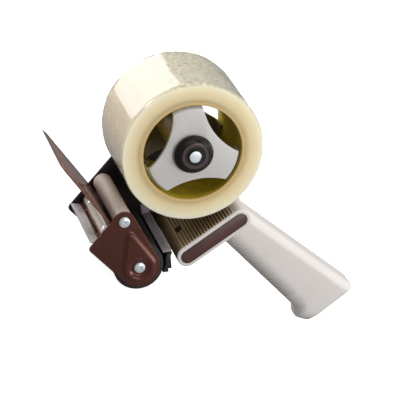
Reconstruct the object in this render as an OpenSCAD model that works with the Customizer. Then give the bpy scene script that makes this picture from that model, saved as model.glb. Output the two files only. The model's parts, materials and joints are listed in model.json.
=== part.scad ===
// Hand-held packing tape dispenser with a pistol grip, standing on its pressing roller and grip butt.
// X runs from the wiper to the grip, Y along the axles away from the open side, Z up from the floor.

/* [Tape roll] */
// Width of the tape
tape_w = 72; // [40:1:80]
// Outside diameter of the roll
roll_d = 110; // [96:1:130]
// Bore of the paper core
core_d = 76.2; // [74:0.1:78]
// Wall of the paper core
core_wall = 3.2; // [2:0.1:5]

/* [Stance] */
// Height of the roll axle above the floor
axle_h = 118; // [112:0.5:130]
// Distance from the roll axle forward to the pressing roller axle
roller_ahead = 6.2; // [0:0.1:12]
// Distance from the roll axle forward to the guide roller axle
guide_ahead = 31.5; // [28:0.1:36]
// Height of the guide roller axle above the floor
guide_h = 51.6; // [49:0.1:56]

/* [Rollers] */
// Diameter of the rubber pressing roller
roller_d = 39; // [34:0.5:40]
// Wall of the rubber tyre
tyre_wall = 6.5; // [4:0.1:8]
// Wall of the sleeve under the tyre
sleeve_wall = 4; // [2:0.1:5]
// Diameter of the pressing roller shaft
roller_shaft_d = 8; // [7:0.5:10]
// Diameter of the guide roller
guide_d = 14.8; // [13:0.1:15.5]
// Wall of the guide roller tube
guide_wall = 1.6; // [1:0.1:2]
// Diameter of the guide roller shaft
guide_shaft_d = 7; // [6.5:0.5:8]
// Length of each roller bush
bush_len = 10; // [6:1:16]
// Gap between a roller end and the plate beside it
roller_end_gap = 0.8; // [0.4:0.1:1.2]

/* [Head plates] */
// Clearance between the tape and the plate on each side
plate_clear = 2; // [1:0.5:6]
// Thickness of the painted side plate
side_t = 1.6; // [1.2:0.1:2.5]
// Thickness of the frame plate
frame_t = 2; // [1.5:0.1:3]
// Radius of the plates round the pressing roller axle
lobe_roller_r = 16.2; // [14:0.1:16.8]
// Radius of the plates round the guide roller axle
lobe_guide_r = 8.3; // [7.8:0.1:9]
// Radius of the frame plate round the roll axle
lobe_axle_r = 15; // [12:0.5:20]
// Distance from the roll axle forward to the centre of the plates' nose
nose_ahead = 45.9; // [44:0.1:49]
// Height of the centre of the plates' nose
nose_h = 24.2; // [22:0.1:26]
// Radius of the plates' nose
nose_r = 3.5; // [2:0.1:5]
// Height of the raised teardrop on the side plate
emboss_h = 1.9; // [0.8:0.1:2.2]
// Radius of the raised teardrop round the roller screw
emboss_r = 13.6; // [12:0.1:14.2]
// Radius of the teardrop's tip
emboss_tip_r = 3.2; // [2:0.1:4]
// Length of the teardrop from the roller screw to its tip centre
emboss_len = 27.5; // [24:0.5:29]
// Radius of the dimple round the roller screw
dimple_r = 7.4; // [6.5:0.1:9]
// Radius of the screw heads on the plates
screw_head_r = 4.3; // [3.5:0.1:5]
// Height of the screw heads on the plates
screw_head_h = 2.2; // [1.5:0.1:3]
// Diameter of the screws into the shafts
shaft_screw_d = 4; // [3:0.5:5]
// Length of the screws into the shafts
shaft_screw_len = 14; // [10:1:20]

/* [Cutting and wiping] */
// How far the cross bar's face lies behind the plates' front edge
bar_set_back = 7; // [6:0.1:8]
// Distance up the front edge from the nose to the cross bar
bar_from = 8.8; // [8:0.1:10]
// Width of the cross bar up the front edge
bar_w = 10; // [9:0.1:10.4]
// Thickness of the cross bar
bar_t = 1.5; // [1:0.1:2]
// Length of the bar's lip over the blade
lip_len = 3; // [2:0.1:4]
// Angle of the blade to the front edge
blade_angle = 118; // [112:1:124]
// Length of the blade from its root to the tooth tips
blade_len = 10.6; // [8:0.1:11]
// Thickness of the blade
blade_t = 0.8; // [0.5:0.1:1]
// Number of teeth on the blade
tooth_count = 36; // [20:1:48]
// Depth of the teeth
tooth_h = 1.5; // [0.8:0.1:2]
// Thickness of the wiper sheet
wiper_t = 1.2; // [0.8:0.1:1.4]
// Length of the wiper flap
wiper_len = 68; // [40:1:80]
// Angle of the wiper flap above the floor
wiper_angle = 32.7; // [26:0.1:40]
// Thickness of the clamp plate over the wiper root
clamp_t = 1.2; // [0.8:0.1:2]
// Distance between the two clamp screws
clamp_screw_span = 50; // [30:1:60]

/* [Throat] */
// Width of the steel guide strip
strip_w = 6.7; // [5:0.1:7.5]
// Thickness of the guide strip
strip_t = 1.4; // [1:0.1:2]
// Distance from the roll axle back to the guide strip's front edge
strip_back = 8.6; // [8:0.1:10]
// Height of the guide strip's front edge
strip_h = 34.9; // [34:0.1:37]
// Slope of the guide strip
strip_angle = 30; // [20:1:36]
// Height of the tape stop under the guide strip
stop_drop = 15.5; // [12:0.1:16]
// Thickness of the tape stop at its teeth
stop_w = 4.6; // [3.5:0.1:5]

/* [Hub and brake] */
// Diameter of the roll axle
axle_d = 10; // [8:0.5:11]
// Radius of the hub lobes at their open end
lobe_face_r = 35; // [33:0.1:36]
// Half angle of a hub lobe
lobe_half = 20; // [15:1:24]
// Distance from the axle to the hollow between two lobes
lobe_waist_r = 22; // [20:0.1:26]
// Thickness of the hub plates
hub_t = 3; // [2:0.1:4]
// Depth of the lobes' gripping walls
lobe_depth = 14; // [8:0.5:20]
// Radius of the hub barrel
barrel_r = 13; // [12:0.1:15]
// Radius of the brake washers
brake_r = 10; // [8.5:0.1:10.4]
// Thickness of the friction washer
friction_t = 1.5; // [1:0.1:2]
// Thickness of the pressure washer
pressure_t = 1.5; // [1:0.1:2]
// Length of the brake spring
spring_len = 6.4; // [5.5:0.1:8]
// Wire of the brake spring
spring_wire = 1.1; // [0.8:0.1:1.3]
// Turns of the brake spring
spring_turns = 3.5; // [2.5:0.5:4]
// Radius of the knob at its wide end
knob_r = 15.2; // [13.5:0.1:17]
// Radius of the knob at its front
knob_front_r = 10.4; // [9.8:0.1:12]
// Thickness of the knob's front wall
knob_wall = 3; // [2:0.1:4]
// Number of ridges round the knob
knob_ridges = 24; // [12:1:36]
// Lead of the axle thread
thread_lead = 1.25; // [1:0.05:1.5]

/* [Handle] */
// Thickness of the ribbed deck under the roll
deck_t = 16.6; // [14:0.1:20]
// Gap between the roll and the deck
deck_gap = 6.5; // [4:0.1:9]
// Slope of the deck
deck_angle = 54.4; // [50:0.1:58]
// Distance along the deck from the foot of the roll to its front end
deck_front = 49.6; // [46:0.1:52]
// Number of ribs on the deck
rib_count = 15; // [8:1:20]
// Height of the ribs on the deck
rib_h = 0.8; // [0.4:0.1:1.2]
// Wall of the handle shells
shell_wall = 2.4; // [1.8:0.1:3]
// Slope of the grip's back below the horizontal
grip_angle = 18.6; // [16:0.1:21]
// Length of the grip along its back
grip_len = 129.4; // [118:0.1:136]
// Height of the grip's back above the deck's rear end
grip_back = 4.1; // [2:0.1:6]
// Depth of the grip at its top
grip_depth = 28.6; // [26:0.1:34]
// Extra depth of the grip above its butt
grip_flare = 12.8; // [8:0.1:14]
// Thickness of the grip across
grip_w = 30; // [26:0.5:36]
// Rounding of the grip's long edges at its back and at the toe
grip_round = 9; // [6:0.5:11]
// Rounding of the grip's long edges at its front
front_round = 12.5; // [8:0.5:12.8]
// Lean of the butt face
butt_lean = 14; // [8:0.5:18]
// Number of finger grooves
groove_count = 24; // [10:1:30]
// Depth of the finger grooves
groove_h = 0.6; // [0.3:0.1:1]
// Thickness of the label plate
label_t = 0.8; // [0.5:0.1:1.2]
// Border of the deck's end round the label plate
label_border = 2.8; // [2:0.1:4]
// Diameter of the screws in the handle
handle_screw_d = 3.5; // [3:0.1:4]

/* [Fits] */
// Clearance between pieces that are fixed together
fit_gap = 0.05; // [0.02:0.01:0.1]
// Radial clearance of a shaft in its bush
run_gap = 0.06; // [0.02:0.01:0.1]
// Clearance between a moving piece and its neighbour
move_gap = 0.3; // [0.2:0.05:0.5]

/* [Hidden] */

brown_paint = [0.28, 0.17, 0.14];
dark_paint = [0.14, 0.11, 0.12];
bright_steel = [0.78, 0.80, 0.82];
grey_steel = [0.62, 0.60, 0.58];
grey_plastic = [0.82, 0.80, 0.78];
hub_plastic = [0.80, 0.79, 0.78];
black_plastic = [0.10, 0.10, 0.11];
brown_plastic = [0.36, 0.24, 0.20];
dark_plastic = [0.20, 0.14, 0.13];
tan_metal = [0.70, 0.64, 0.57];
fibre = [0.55, 0.40, 0.28];
brass = [0.78, 0.62, 0.30];

// Smoothness of drawn arcs and of the round solids
arc_steps = 8;
$fn = 48;
// Overlap of a cut past the face it opens
over = 1;

// Clear width between the two head plates
plate_gap = tape_w + 2 * plate_clear;

// Places across the object, counted from the middle of the roll and then moved to the middle of the whole part
axle_proud = 8.5;
tail_out = 7.5;
mid_y = (axle_proud - frame_t - tail_out + (tape_w - plate_gap) / 2) / 2;
roll_near = mid_y - tape_w / 2;
roll_far = mid_y + tape_w / 2;
side_in = mid_y - plate_gap / 2;
side_out = side_in - side_t;
frame_in = mid_y + plate_gap / 2;
frame_out = frame_in + frame_t;
roller_near = side_in + roller_end_gap;
roller_far = frame_in - roller_end_gap;

// Places in the side view: first counted from the roll axle, then moved to the middle of the whole part
deck_r = deck_t / 2;
deck_dir = [cos(deck_angle), sin(deck_angle)];
deck_up = [-sin(deck_angle), cos(deck_angle)];
deck_line = roll_d / 2 + deck_gap + deck_r;
grip_dir = [cos(grip_angle), -sin(grip_angle)];
grip_up = [sin(grip_angle), cos(grip_angle)];
grip_root = -deck_up * deck_line;
butt_round = 6.5;
butt_half = (90 - butt_lean) / 2;
butt_mid = [-cos(butt_half), -sin(butt_half)] * butt_round / sin(butt_half);
butt_end = grip_root + grip_dir * (grip_len + butt_mid[0]) + grip_up * (grip_back + butt_mid[1]);
rear_reach = butt_end[0] + butt_round;
nose_rel = [-nose_ahead, nose_h - axle_h];
guide_rel = [-guide_ahead, guide_h - axle_h];
edge_rise = guide_rel - nose_rel;
edge_angle = atan2(edge_rise[1], edge_rise[0]) + asin((lobe_guide_r - nose_r) / norm(edge_rise));
edge_dir = [cos(edge_angle), sin(edge_angle)];
edge_out = [-sin(edge_angle), cos(edge_angle)];
bar_to = bar_from + bar_w;
hinge_up = bar_to + 2 * wiper_t;
hinge_out = -bar_set_back + wiper_t / 2;
hinge_rel = nose_rel + edge_out * (nose_r + hinge_out) + edge_dir * hinge_up;
wiper_dir = [-cos(wiper_angle), sin(wiper_angle)];
front_reach = hinge_rel[0] + wiper_dir[0] * wiper_len;
axle_x = -(front_reach + rear_reach) / 2;
axle_at = [axle_x, axle_h];
roller_at = [axle_x - roller_ahead, roller_d / 2];
guide_at = [axle_x - guide_ahead, guide_h];
nose_at = [axle_x - nose_ahead, nose_h];
edge_at = nose_at + edge_out * nose_r;
hinge_at = axle_at + hinge_rel;
deck_rear = axle_at + grip_root;
deck_nose = deck_rear - deck_dir * deck_front;

// Points of an arc about a centre
function arc(centre, r, from, to, steps = arc_steps) =
    [for (i = [0:steps]) let (a = from + (to - from) * i / steps) centre + r * [cos(a), sin(a)]];

// Direction of the outer tangent's normal from one round [x, z, r] to the next, going anticlockwise
function tangent(a, b) =
    atan2(b[1] - a[1], b[0] - a[0]) - acos((a[2] - b[2]) / norm([b[0] - a[0], b[1] - a[1]]));

// Angle at or just after another one
function after(a, start) = a - 360 * floor((a - start) / 360);

// Outline stretched round a ring of rounds [x, z, r] that are listed anticlockwise
function belt(rounds) =
    let (n = len(rounds))
    [for (i = [0:n - 1])
        let (here = rounds[i],
             from = tangent(rounds[(i + n - 1) % n], here),
             to = after(tangent(here, rounds[(i + 1) % n]), from))
        each arc([here[0], here[1]], here[2], from, to)];

// Outline through corners [x, z, r], each rounded to its own radius, listed anticlockwise
function rounded(corners) =
    let (n = len(corners))
    [for (i = [0:n - 1])
        let (p = [corners[i][0], corners[i][1]],
             r = corners[i][2],
             before = corners[(i + n - 1) % n],
             next = corners[(i + 1) % n],
             u = unit([before[0], before[1]] - p),
             v = unit([next[0], next[1]] - p),
             half = acos(u * v) / 2,
             turn = u[0] * v[1] - u[1] * v[0],
             centre = p + unit(u + v) * r / sin(half),
             start = centre - unit(u + v) * r,
             mid = atan2(start[1] - centre[1], start[0] - centre[0]),
             sweep = (turn < 0 ? 1 : -1) * (90 - half))
        each (r == 0 ? [p] : arc(centre, r, mid - sweep, mid + sweep))];

function unit(v) = v / norm(v);
function round_at(p, r) = [p[0], p[1], r];

// A side-view outline given thickness from one place across to another
module slab(from, to) {
    translate([0, to, 0])
        rotate([90, 0, 0])
            linear_extrude(to - from)
                children();
}

// A round bar across the object
module bar_y(at, r, from, to) {
    translate([at[0], to, at[1]])
        rotate([90, 0, 0])
            cylinder(r = r, h = to - from);
}

// A tube across the object
module tube_y(at, r, bore, from, to) {
    difference() {
        bar_y(at, r, from, to);
        bar_y(at, bore, from - over, to + over);
    }
}

// A turned piece across the object: points are [radius, place across]
module turned(at, points) {
    translate([at[0], 0, at[1]])
        rotate([-90, 0, 0])
            rotate_extrude()
                polygon(points);
}

// A pan-head screw with a cross recess; its head faces the open side when out is -1
module pan_screw(at, seat, head_r, head_h, shank_d, shank_len, out = -1) {
    crown = head_h * 0.55;
    shoulder_r = head_r * 0.86;
    shoulder = head_h * 0.8;
    crown_r = head_r * 0.5;
    recess = head_r * 0.62;
    slot = head_r * 0.2;
    recess_turn = 30;
    tip = seat + out * head_h;
    difference() {
        union() {
            turned(at, [[0, seat], [head_r, seat], [head_r, seat + out * (head_h - crown)],
                        [shoulder_r, seat + out * shoulder], [crown_r, tip], [0, tip]]);
            bar_y(at, shank_d / 2, min(seat, seat - out * shank_len), max(seat, seat - out * shank_len));
        }
        for (turn = [0, 90])
            translate([at[0], tip, at[1]])
                rotate([0, turn + recess_turn, 0])
                    cube([2 * recess, 1.1 * head_h, slot], center = true);
    }
}

// Frame of the head's front edge: X up the edge from the nose, Z outwards
module on_front_edge() {
    translate([edge_at[0], 0, edge_at[1]])
        rotate([0, -edge_angle, 0])
            children();
}

// Frame of the deck: X along it from its front end, Z towards the roll
module on_deck() {
    translate([deck_nose[0], 0, deck_nose[1]])
        rotate([0, -deck_angle, 0])
            children();
}

// Frame of the grip: X along its back from the deck's rear end, Z out of the back
module on_grip() {
    translate([deck_rear[0], 0, deck_rear[1]])
        rotate([0, grip_angle, 0])
            children();
}

// Frame of the guide strip: X up its slope from the front edge, Z out of its upper face
module on_strip() {
    translate([axle_x + strip_back, 0, strip_h])
        rotate([0, -strip_angle, 0])
            children();
}

plate_rounds = [round_at(nose_at, nose_r), round_at(roller_at, lobe_roller_r), round_at(guide_at, lobe_guide_r)];
frame_rounds = [round_at(nose_at, nose_r), round_at(roller_at, lobe_roller_r), round_at(deck_nose, deck_r),
                round_at(deck_rear, deck_r), round_at(axle_at, lobe_axle_r)];
screw_hole_r = shaft_screw_d / 2 + 4 * fit_gap;
tail_d = axle_d - 2;
deck_screw_seat_r = handle_screw_d / 2 + fit_gap;

// Steel frame plate that carries the axle, the head and the handle
module frame_plate() {
    color(dark_paint)
        difference() {
            slab(frame_in, frame_out) polygon(belt(frame_rounds));
            for (at = [roller_at, guide_at])
                bar_y(at, screw_hole_r, frame_in - over, frame_out + over);
            for (at = [deck_nose, deck_rear])
                bar_y(at, deck_screw_seat_r + 2 * fit_gap, frame_in - over, frame_out + over);
            bar_y(axle_at, tail_d / 2 + 2 * fit_gap, frame_in - over, frame_out + over);
        }
}

// Pressed side plate on the open side, with its raised teardrop and the dimple for the roller screw
module side_plate() {
    tip_shift = 1.6;
    tip_dir = unit(guide_at - roller_at + [tip_shift, 0]);
    tip_at = roller_at + tip_dir * emboss_len;
    drop = [round_at(roller_at, emboss_r), round_at(tip_at, emboss_tip_r)];
    hollow = [round_at(roller_at, emboss_r - side_t), round_at(tip_at, emboss_tip_r - side_t)];
    color(brown_paint)
        difference() {
            union() {
                slab(side_out, side_in) polygon(belt(plate_rounds));
                slab(side_out - emboss_h, side_out) polygon(belt(drop));
            }
            difference() {
                slab(side_out - emboss_h + side_t, side_in + over) polygon(belt(hollow));
                bar_y(roller_at, dimple_r + side_t, side_out - emboss_h, side_in + 2 * over);
            }
            turned(roller_at, [[0, side_out], [dimple_r, side_out], [dimple_r + emboss_h / 2, side_out - emboss_h],
                               [dimple_r + emboss_h / 2, side_out - emboss_h - over], [0, side_out - emboss_h - over]]);
            for (at = [roller_at, guide_at])
                bar_y(at, screw_hole_r, side_out - over, side_in + over);
        }
}

// A fixed shaft between the plates, tapped at both ends
module tapped_shaft(at, d) {
    difference() {
        bar_y(at, d / 2, side_in, frame_in);
        for (mouth = [[side_in - over, side_in + shaft_screw_len], [frame_in - shaft_screw_len, frame_in + over]])
            bar_y(at, shaft_screw_d / 2 + fit_gap, mouth[0], mouth[1]);
    }
}

module roller_shaft() {
    color(bright_steel) tapped_shaft(roller_at, roller_shaft_d);
}

module guide_shaft() {
    color(bright_steel) tapped_shaft(guide_at, guide_shaft_d);
}

// Screws that hold the side plate on the shafts
module side_screws() {
    color(bright_steel)
        for (at = [roller_at, guide_at])
            pan_screw(at, side_out, screw_head_r, screw_head_h, shaft_screw_d, shaft_screw_len - over);
}

// Screws that hold the shafts on the frame plate
module frame_screws() {
    color(bright_steel)
        for (at = [roller_at, guide_at])
            pan_screw(at, frame_out, screw_head_r, screw_head_h, shaft_screw_d, shaft_screw_len - over, 1);
}

tab_t = 1.5;
tab_deep = 9;
lip_below = 0.3;
lip_at = bar_from - lip_below;
bar_low = lip_at + bar_t * cos(blade_angle + 90);
bar_back = -bar_set_back - bar_t;

// Cross bar between the plates, with a lip over the blade and an end tab on each plate
module cross_bar() {
    color(brown_paint)
        difference() {
            union() {
                on_front_edge() {
                    translate([bar_low, side_in, bar_back])
                        cube([bar_to - bar_low, plate_gap, bar_t]);
                    for (y = [side_in, frame_in - tab_t])
                        translate([bar_from, y, bar_back - tab_deep])
                            cube([bar_w, tab_t, tab_deep + bar_t]);
                }
                on_blade()
                    translate([0, side_in + tab_t, 0])
                        cube([lip_len, plate_gap - 2 * tab_t, bar_t]);
            }
            on_clamp_screws() cylinder(r = clamp_screw_d / 2 + fit_gap, h = clamp_reach, center = true);
            on_blade_rivets() cylinder(r = rivet_r + fit_gap, h = clamp_reach, center = true);
        }
}

// Frame of the blade: X from its root to the teeth, Z up through the lip from the blade's upper face
module on_blade() {
    on_front_edge()
        translate([lip_at, 0, -bar_set_back])
            rotate([0, -blade_angle, 0])
                mirror([0, 0, 1])
                    translate([0, 0, -bar_t])
                        children();
}
blade_root = 0.2;
rivet_r = 0.9;
rivet_head_r = 1.5;
rivet_head = 0.7;
rivet_span = 44;

module on_blade_rivets() {
    on_blade()
        for (side = [-1, 1])
            translate([lip_len / 2, mid_y + side * rivet_span / 2, 0])
                children();
}

// Serrated steel blade under the lip
module cutter_blade() {
    width = plate_gap - 2 * tab_t - 2 * fit_gap;
    pitch = width / tooth_count;
    low = mid_y - width / 2;
    edge = [for (i = [0:tooth_count - 1]) each [[blade_len - tooth_h, low + i * pitch],
                                                [blade_len, low + (i + 0.5) * pitch]]];
    color(bright_steel)
        difference() {
            on_blade()
                translate([0, 0, -blade_t])
                    linear_extrude(blade_t)
                        polygon(concat([[blade_root, low]], edge,
                                       [[blade_len - tooth_h, low + width], [blade_root, low + width]]));
            on_blade_rivets() cylinder(r = rivet_r + fit_gap, h = clamp_reach, center = true);
        }
}

// Rivets that hold the blade to the lip, flush on the lip's upper face
module blade_rivets() {
    color(grey_steel)
        on_blade_rivets() {
            translate([0, 0, -blade_t]) cylinder(r = rivet_r, h = blade_t + bar_t);
            translate([0, 0, -blade_t - rivet_head]) cylinder(r1 = rivet_r, r2 = rivet_head_r, h = rivet_head);
        }
}

clamp_screw_d = 3;
clamp_head_r = 2.8;
clamp_head_h = 1.7;
clamp_reach = 12;
wiper_side_gap = 1.5;
clamp_set_up = 2;

module on_clamp_screws() {
    on_front_edge()
        for (side = [-1, 1])
            translate([bar_from + bar_w / 2, mid_y + side * clamp_screw_span / 2, -bar_set_back])
                children();
}

// Clamped root of the wiper sheet
module wiper_root() {
    color(brown_plastic)
        difference() {
            on_front_edge()
                translate([bar_from, side_in + wiper_side_gap, -bar_set_back])
                    cube([bar_w + wiper_t, plate_gap - 2 * wiper_side_gap, wiper_t]);
            on_clamp_screws() cylinder(r = clamp_screw_d / 2 + fit_gap, h = clamp_reach, center = true);
        }
}

// Steel strip that clamps the wiper root on the cross bar
module clamp_plate() {
    color(grey_steel)
        difference() {
            on_front_edge()
                translate([bar_from + clamp_set_up, side_in + wiper_side_gap, -bar_set_back + wiper_t])
                    cube([bar_w - wiper_t / 2 - clamp_set_up, plate_gap - 2 * wiper_side_gap, clamp_t]);
            on_clamp_screws() cylinder(r = clamp_screw_d / 2 + fit_gap, h = clamp_reach, center = true);
        }
}

// Screws through the clamp, the wiper root and the cross bar
module clamp_screws() {
    stack = wiper_t + clamp_t;
    color(bright_steel)
        on_clamp_screws() {
            translate([0, 0, -bar_t]) cylinder(r = clamp_screw_d / 2, h = bar_t + stack);
            translate([0, 0, stack]) cylinder(r1 = clamp_head_r, r2 = clamp_head_r * 0.6, h = clamp_head_h);
        }
}

// Flap of the wiper sheet, free to bend at its root, with a thin bevelled edge
module wiper_flap() {
    bevel = 5;
    thin = 0.35 * wiper_t;
    half = wiper_t / 2;
    color(brown_plastic)
        translate([hinge_at[0], 0, hinge_at[1]])
            rotate([0, wiper_angle, 0])
                mirror([1, 0, 0])
                    slab(side_in + wiper_side_gap / 2, frame_in - wiper_side_gap / 2)
                        polygon(concat(arc([0, 0], half, 90, 270),
                                       [[wiper_len - bevel, -half], [wiper_len, -half], [wiper_len, thin - half],
                                        [wiper_len - bevel, half]]));
}

strip_end_gap = 4;
strip_tab = 9;
stop_grip = 2.5;

// Steel guide strip in the throat, carried by a tab on the frame plate
module guide_strip() {
    color(grey_steel)
        difference() {
            on_strip() {
                translate([0, side_in + strip_end_gap, -strip_t])
                    cube([strip_w, plate_gap - strip_end_gap, strip_t]);
                translate([0, frame_in - tab_t, -strip_t])
                    cube([strip_w, tab_t, strip_tab]);
            }
            on_stop_rivets() cylinder(r = rivet_r + fit_gap, h = 2 * (strip_t + stop_grip), center = true);
        }
}

module on_stop_rivets() {
    on_strip()
        for (side = [-1, 1])
            translate([strip_w - rivet_head_r - strip_t / 2, mid_y + side * rivet_span / 2, 0])
                children();
}

// Toothed tape stop that hangs from the guide strip beside the pressing roller
module tape_stop() {
    stop_gap = 0.8;
    stop_in = 3.2;
    neck = 4.5;
    flank = 7;
    step = 0.4;
    bite = 1.6;
    chin = 0.9;
    web = 3;
    front = roller_at[0] + roller_d / 2 + stop_gap;
    low = strip_h - stop_drop;
    slope = tan(strip_angle);
    left = axle_x + strip_back + stop_in;
    seat = strip_h + (left - axle_x - strip_back) * slope - strip_t / cos(strip_angle);
    right = axle_x + strip_back + strip_w * cos(strip_angle) + strip_t * sin(strip_angle);
    seat_right = seat + (right - left) * slope;
    tooth = stop_w * 0.42;
    color(black_plastic)
        difference() {
            slab(side_in + fit_gap + over, frame_in - fit_gap - tab_t)
                polygon([[left, seat], [left + step, seat - neck], [front, low + flank], [front + step / 2, low],
                         [front + stop_w - step, low + tooth], [front + stop_w - bite, low + 2.2 * tooth],
                         [front + stop_w + chin, low + 2.8 * tooth], [right, seat_right - web],
                         [right, seat_right]]);
            on_stop_rivets() cylinder(r = rivet_r + fit_gap, h = 2 * (strip_t + stop_grip), center = true);
        }
}

// Rivets that hold the tape stop under the guide strip
module stop_rivets() {
    color(grey_steel)
        on_stop_rivets() {
            translate([0, 0, -strip_t - stop_grip]) cylinder(r = rivet_r, h = strip_t + stop_grip);
            cylinder(r1 = rivet_head_r, r2 = rivet_r, h = rivet_head);
        }
}

grip_half = grip_w / 2;
part_reach = 6 * grip_len;
shell_near = side_in;
shell_far = frame_in;
boss_r = 4.4;
post_from_deck = 42;
post_from_butt = 30;
post_in = 15;
grip_posts = [[post_from_deck, grip_back - post_in], [grip_len - post_from_butt, grip_back - post_in]];

// Side view of the deck, less a wall
module deck_outline(wall = 0) {
    polygon(belt([round_at(deck_nose, deck_r - wall), round_at(deck_rear, deck_r - wall)]));
}

// Corners of the grip's front edge in its own frame: at the deck, where the butt flares, and the toe on the floor
flare_from_butt = 32;
lip_from_butt = 23.4;
grip_in_deck = 4;
front_top = [0, grip_back - grip_depth];
front_low = [grip_len - flare_from_butt, front_top[1] - grip_flare];
lip_low = on_floor(grip_len - lip_from_butt);
toe_run = grip_len - tan(butt_lean) * (grip_back + deck_rear[1] / cos(grip_angle));
toe_low = on_floor(toe_run / (1 - tan(grip_angle) * tan(butt_lean)));
flare_round = 5;
toe_round = 4.5;

// Point of the floor under a place along the grip, in the grip's own frame
function on_floor(along) = [along, (along * sin(grip_angle) - deck_rear[1]) / cos(grip_angle)];

// Side view of the grip in its own frame, less a wall
module grip_outline(wall = 0) {
    offset(delta = -wall)
        polygon(rounded([[-grip_in_deck, grip_back, 0], [-grip_in_deck, front_top[1] + 1, 0], round_at(front_top, 0),
                         round_at(front_low, flare_round), round_at(lip_low, toe_round), round_at(toe_low, toe_round),
                         [grip_len, grip_back, butt_round]]));
}

// Long bar whose upper face runs through a point at a slope, its two upper edges rounded, less a wall
module edge_bar(at, lean, wall, edge_round = grip_round) {
    depth = grip_len;
    reach = 2 * grip_len;
    r = edge_round - wall;
    half = grip_half - wall;
    translate([at[0], mid_y, at[1]])
        rotate([0, lean, 0])
            translate([-reach, 0, -wall])
                rotate([90, 0, 90])
                    linear_extrude(2 * reach)
                        polygon(rounded([[-half, -depth, 0], [half, -depth, 0], [half, 0, r], [-half, 0, r]]));
}

// The same bar turned over, along the line through two corners of the grip's front edge
module under_bar(from, to, wall, edge_round = grip_round) {
    mirror([0, 0, 1])
        edge_bar([from[0], -from[1]], atan2(to[1] - from[1], to[0] - from[0]), wall, edge_round);
}

// Solid grip, or its hollow when a wall is given
module grip_body(wall = 0) {
    on_grip()
        intersection() {
            slab(mid_y - grip_half - over, mid_y + grip_half + over) grip_outline(wall);
            edge_bar([0, grip_back], 0, wall);
            union() {
                under_bar(front_top, front_low, wall, front_round);
                under_bar(front_low, lip_low, wall, front_round);
            }
            under_bar(lip_low, toe_low, wall);
        }
}

// Both shells before they are parted: deck and grip, hollowed
module handle_body() {
    difference() {
        union() {
            slab(shell_near, shell_far) deck_outline();
            grip_body();
            deck_ribs();
        }
        slab(shell_near + shell_wall, shell_far - shell_wall) deck_outline(shell_wall);
        grip_body(shell_wall);
        finger_grooves();
        lead_slot();
    }
}

// Ribs across the deck's upper face
module deck_ribs() {
    rib_w = 1.2;
    step = deck_front / rib_count;
    on_deck()
        for (i = [1:rib_count])
            translate([(i - 0.5) * step - rib_w / 2, shell_near + rib_h, deck_r - rib_h])
                cube([rib_w, shell_far - shell_near - 2 * rib_h, 2 * rib_h]);
}

// Slot in the deck's upper face near its front end
module lead_slot() {
    slot_l = 5;
    slot_w = 9;
    slot_aside = 4;
    on_deck()
        translate([slot_l / 2, mid_y - slot_aside - slot_w, 0])
            cube([slot_l, slot_w, deck_t]);
}

// Grooves across the front of the grip
module finger_grooves() {
    margin = 8;
    run = norm(front_low - front_top) - 2 * margin;
    step = run / groove_count;
    on_grip()
        translate([front_top[0], 0, front_top[1]])
            rotate([0, -atan2(front_low[1] - front_top[1], front_low[0] - front_top[0]), 0])
                for (i = [0:groove_count - 1])
                    translate([margin + (i + 0.5) * step, mid_y + grip_half + over, 0])
                        rotate([90, 0, 0])
                            cylinder(r = 2 * groove_h, h = grip_w + 2 * over, $fn = 4);
}

// Posts for the screws that close the shells, from one place across to another
module shell_posts(from, to) {
    for (at = [deck_nose, deck_rear])
        bar_y(at, boss_r, from[0], to[0]);
    on_grip()
        for (p = grip_posts)
            bar_y(p, boss_r, from[1], to[1]);
}

// Shell on the open side: it carries the label recess and the screw posts
module handle_near_shell() {
    label_r = deck_r - label_border;
    floor_y = mid_y - grip_half + shell_wall;
    color(grey_plastic)
        difference() {
            union() {
                intersection() {
                    handle_body();
                    slab(shell_near - over, mid_y) square(part_reach, center = true);
                }
                shell_posts([shell_near + shell_wall / 2, floor_y - over], [mid_y, mid_y]);
            }
            slab(shell_near - over, shell_near + label_t)
                polygon(belt([round_at(deck_nose, label_r), round_at(deck_rear, label_r)]));
            shell_holes(shell_near + 2 * shell_wall, floor_y + shell_wall, mid_y + over);
        }
}

// Screw holes through the shells' posts
module shell_holes(deck_from, grip_from, to) {
    for (at = [deck_nose, deck_rear])
        bar_y(at, deck_screw_seat_r, deck_from, to);
    on_grip()
        for (p = grip_posts)
            bar_y(p, deck_screw_seat_r, grip_from, to);
}

well_depth = 6;
well_r = handle_screw_d * 0.85;
handle_head_h = 2;
grip_screw_seat = mid_y + grip_half - well_depth;
grip_screw_len = 16;
deck_screw_len = plate_gap * 0.68;

// Shell on the frame plate's side, with the screw wells in the grip
module handle_far_shell() {
    color(grey_plastic)
        difference() {
            union() {
                intersection() {
                    handle_body();
                    slab(mid_y, shell_far + over) square(part_reach, center = true);
                }
                shell_posts([mid_y, mid_y], [shell_far - shell_wall / 2, mid_y + grip_half - shell_wall + over]);
            }
            shell_holes(mid_y - over, mid_y - over, shell_far + over);
            on_grip()
                for (p = grip_posts)
                    bar_y(p, well_r, grip_screw_seat, mid_y + grip_half + over);
        }
}

// Bare label plate in the end of the deck
module label_plate() {
    label_r = deck_r - label_border - fit_gap;
    color(brown_plastic)
        slab(shell_near, shell_near + label_t)
            polygon(belt([round_at(deck_nose, label_r), round_at(deck_rear, label_r)]));
}

// Long screws through the frame plate and both shells' posts
module deck_screws() {
    color(bright_steel)
        for (at = [deck_nose, deck_rear])
            pan_screw(at, frame_out, handle_screw_d, handle_head_h, handle_screw_d, deck_screw_len, 1);
}

// Screws sunk in the grip
module grip_screws() {
    color(bright_steel)
        on_grip()
            for (p = grip_posts)
                pan_screw(p, grip_screw_seat, well_r - fit_gap, handle_head_h, handle_screw_d, grip_screw_len, 1);
}

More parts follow.
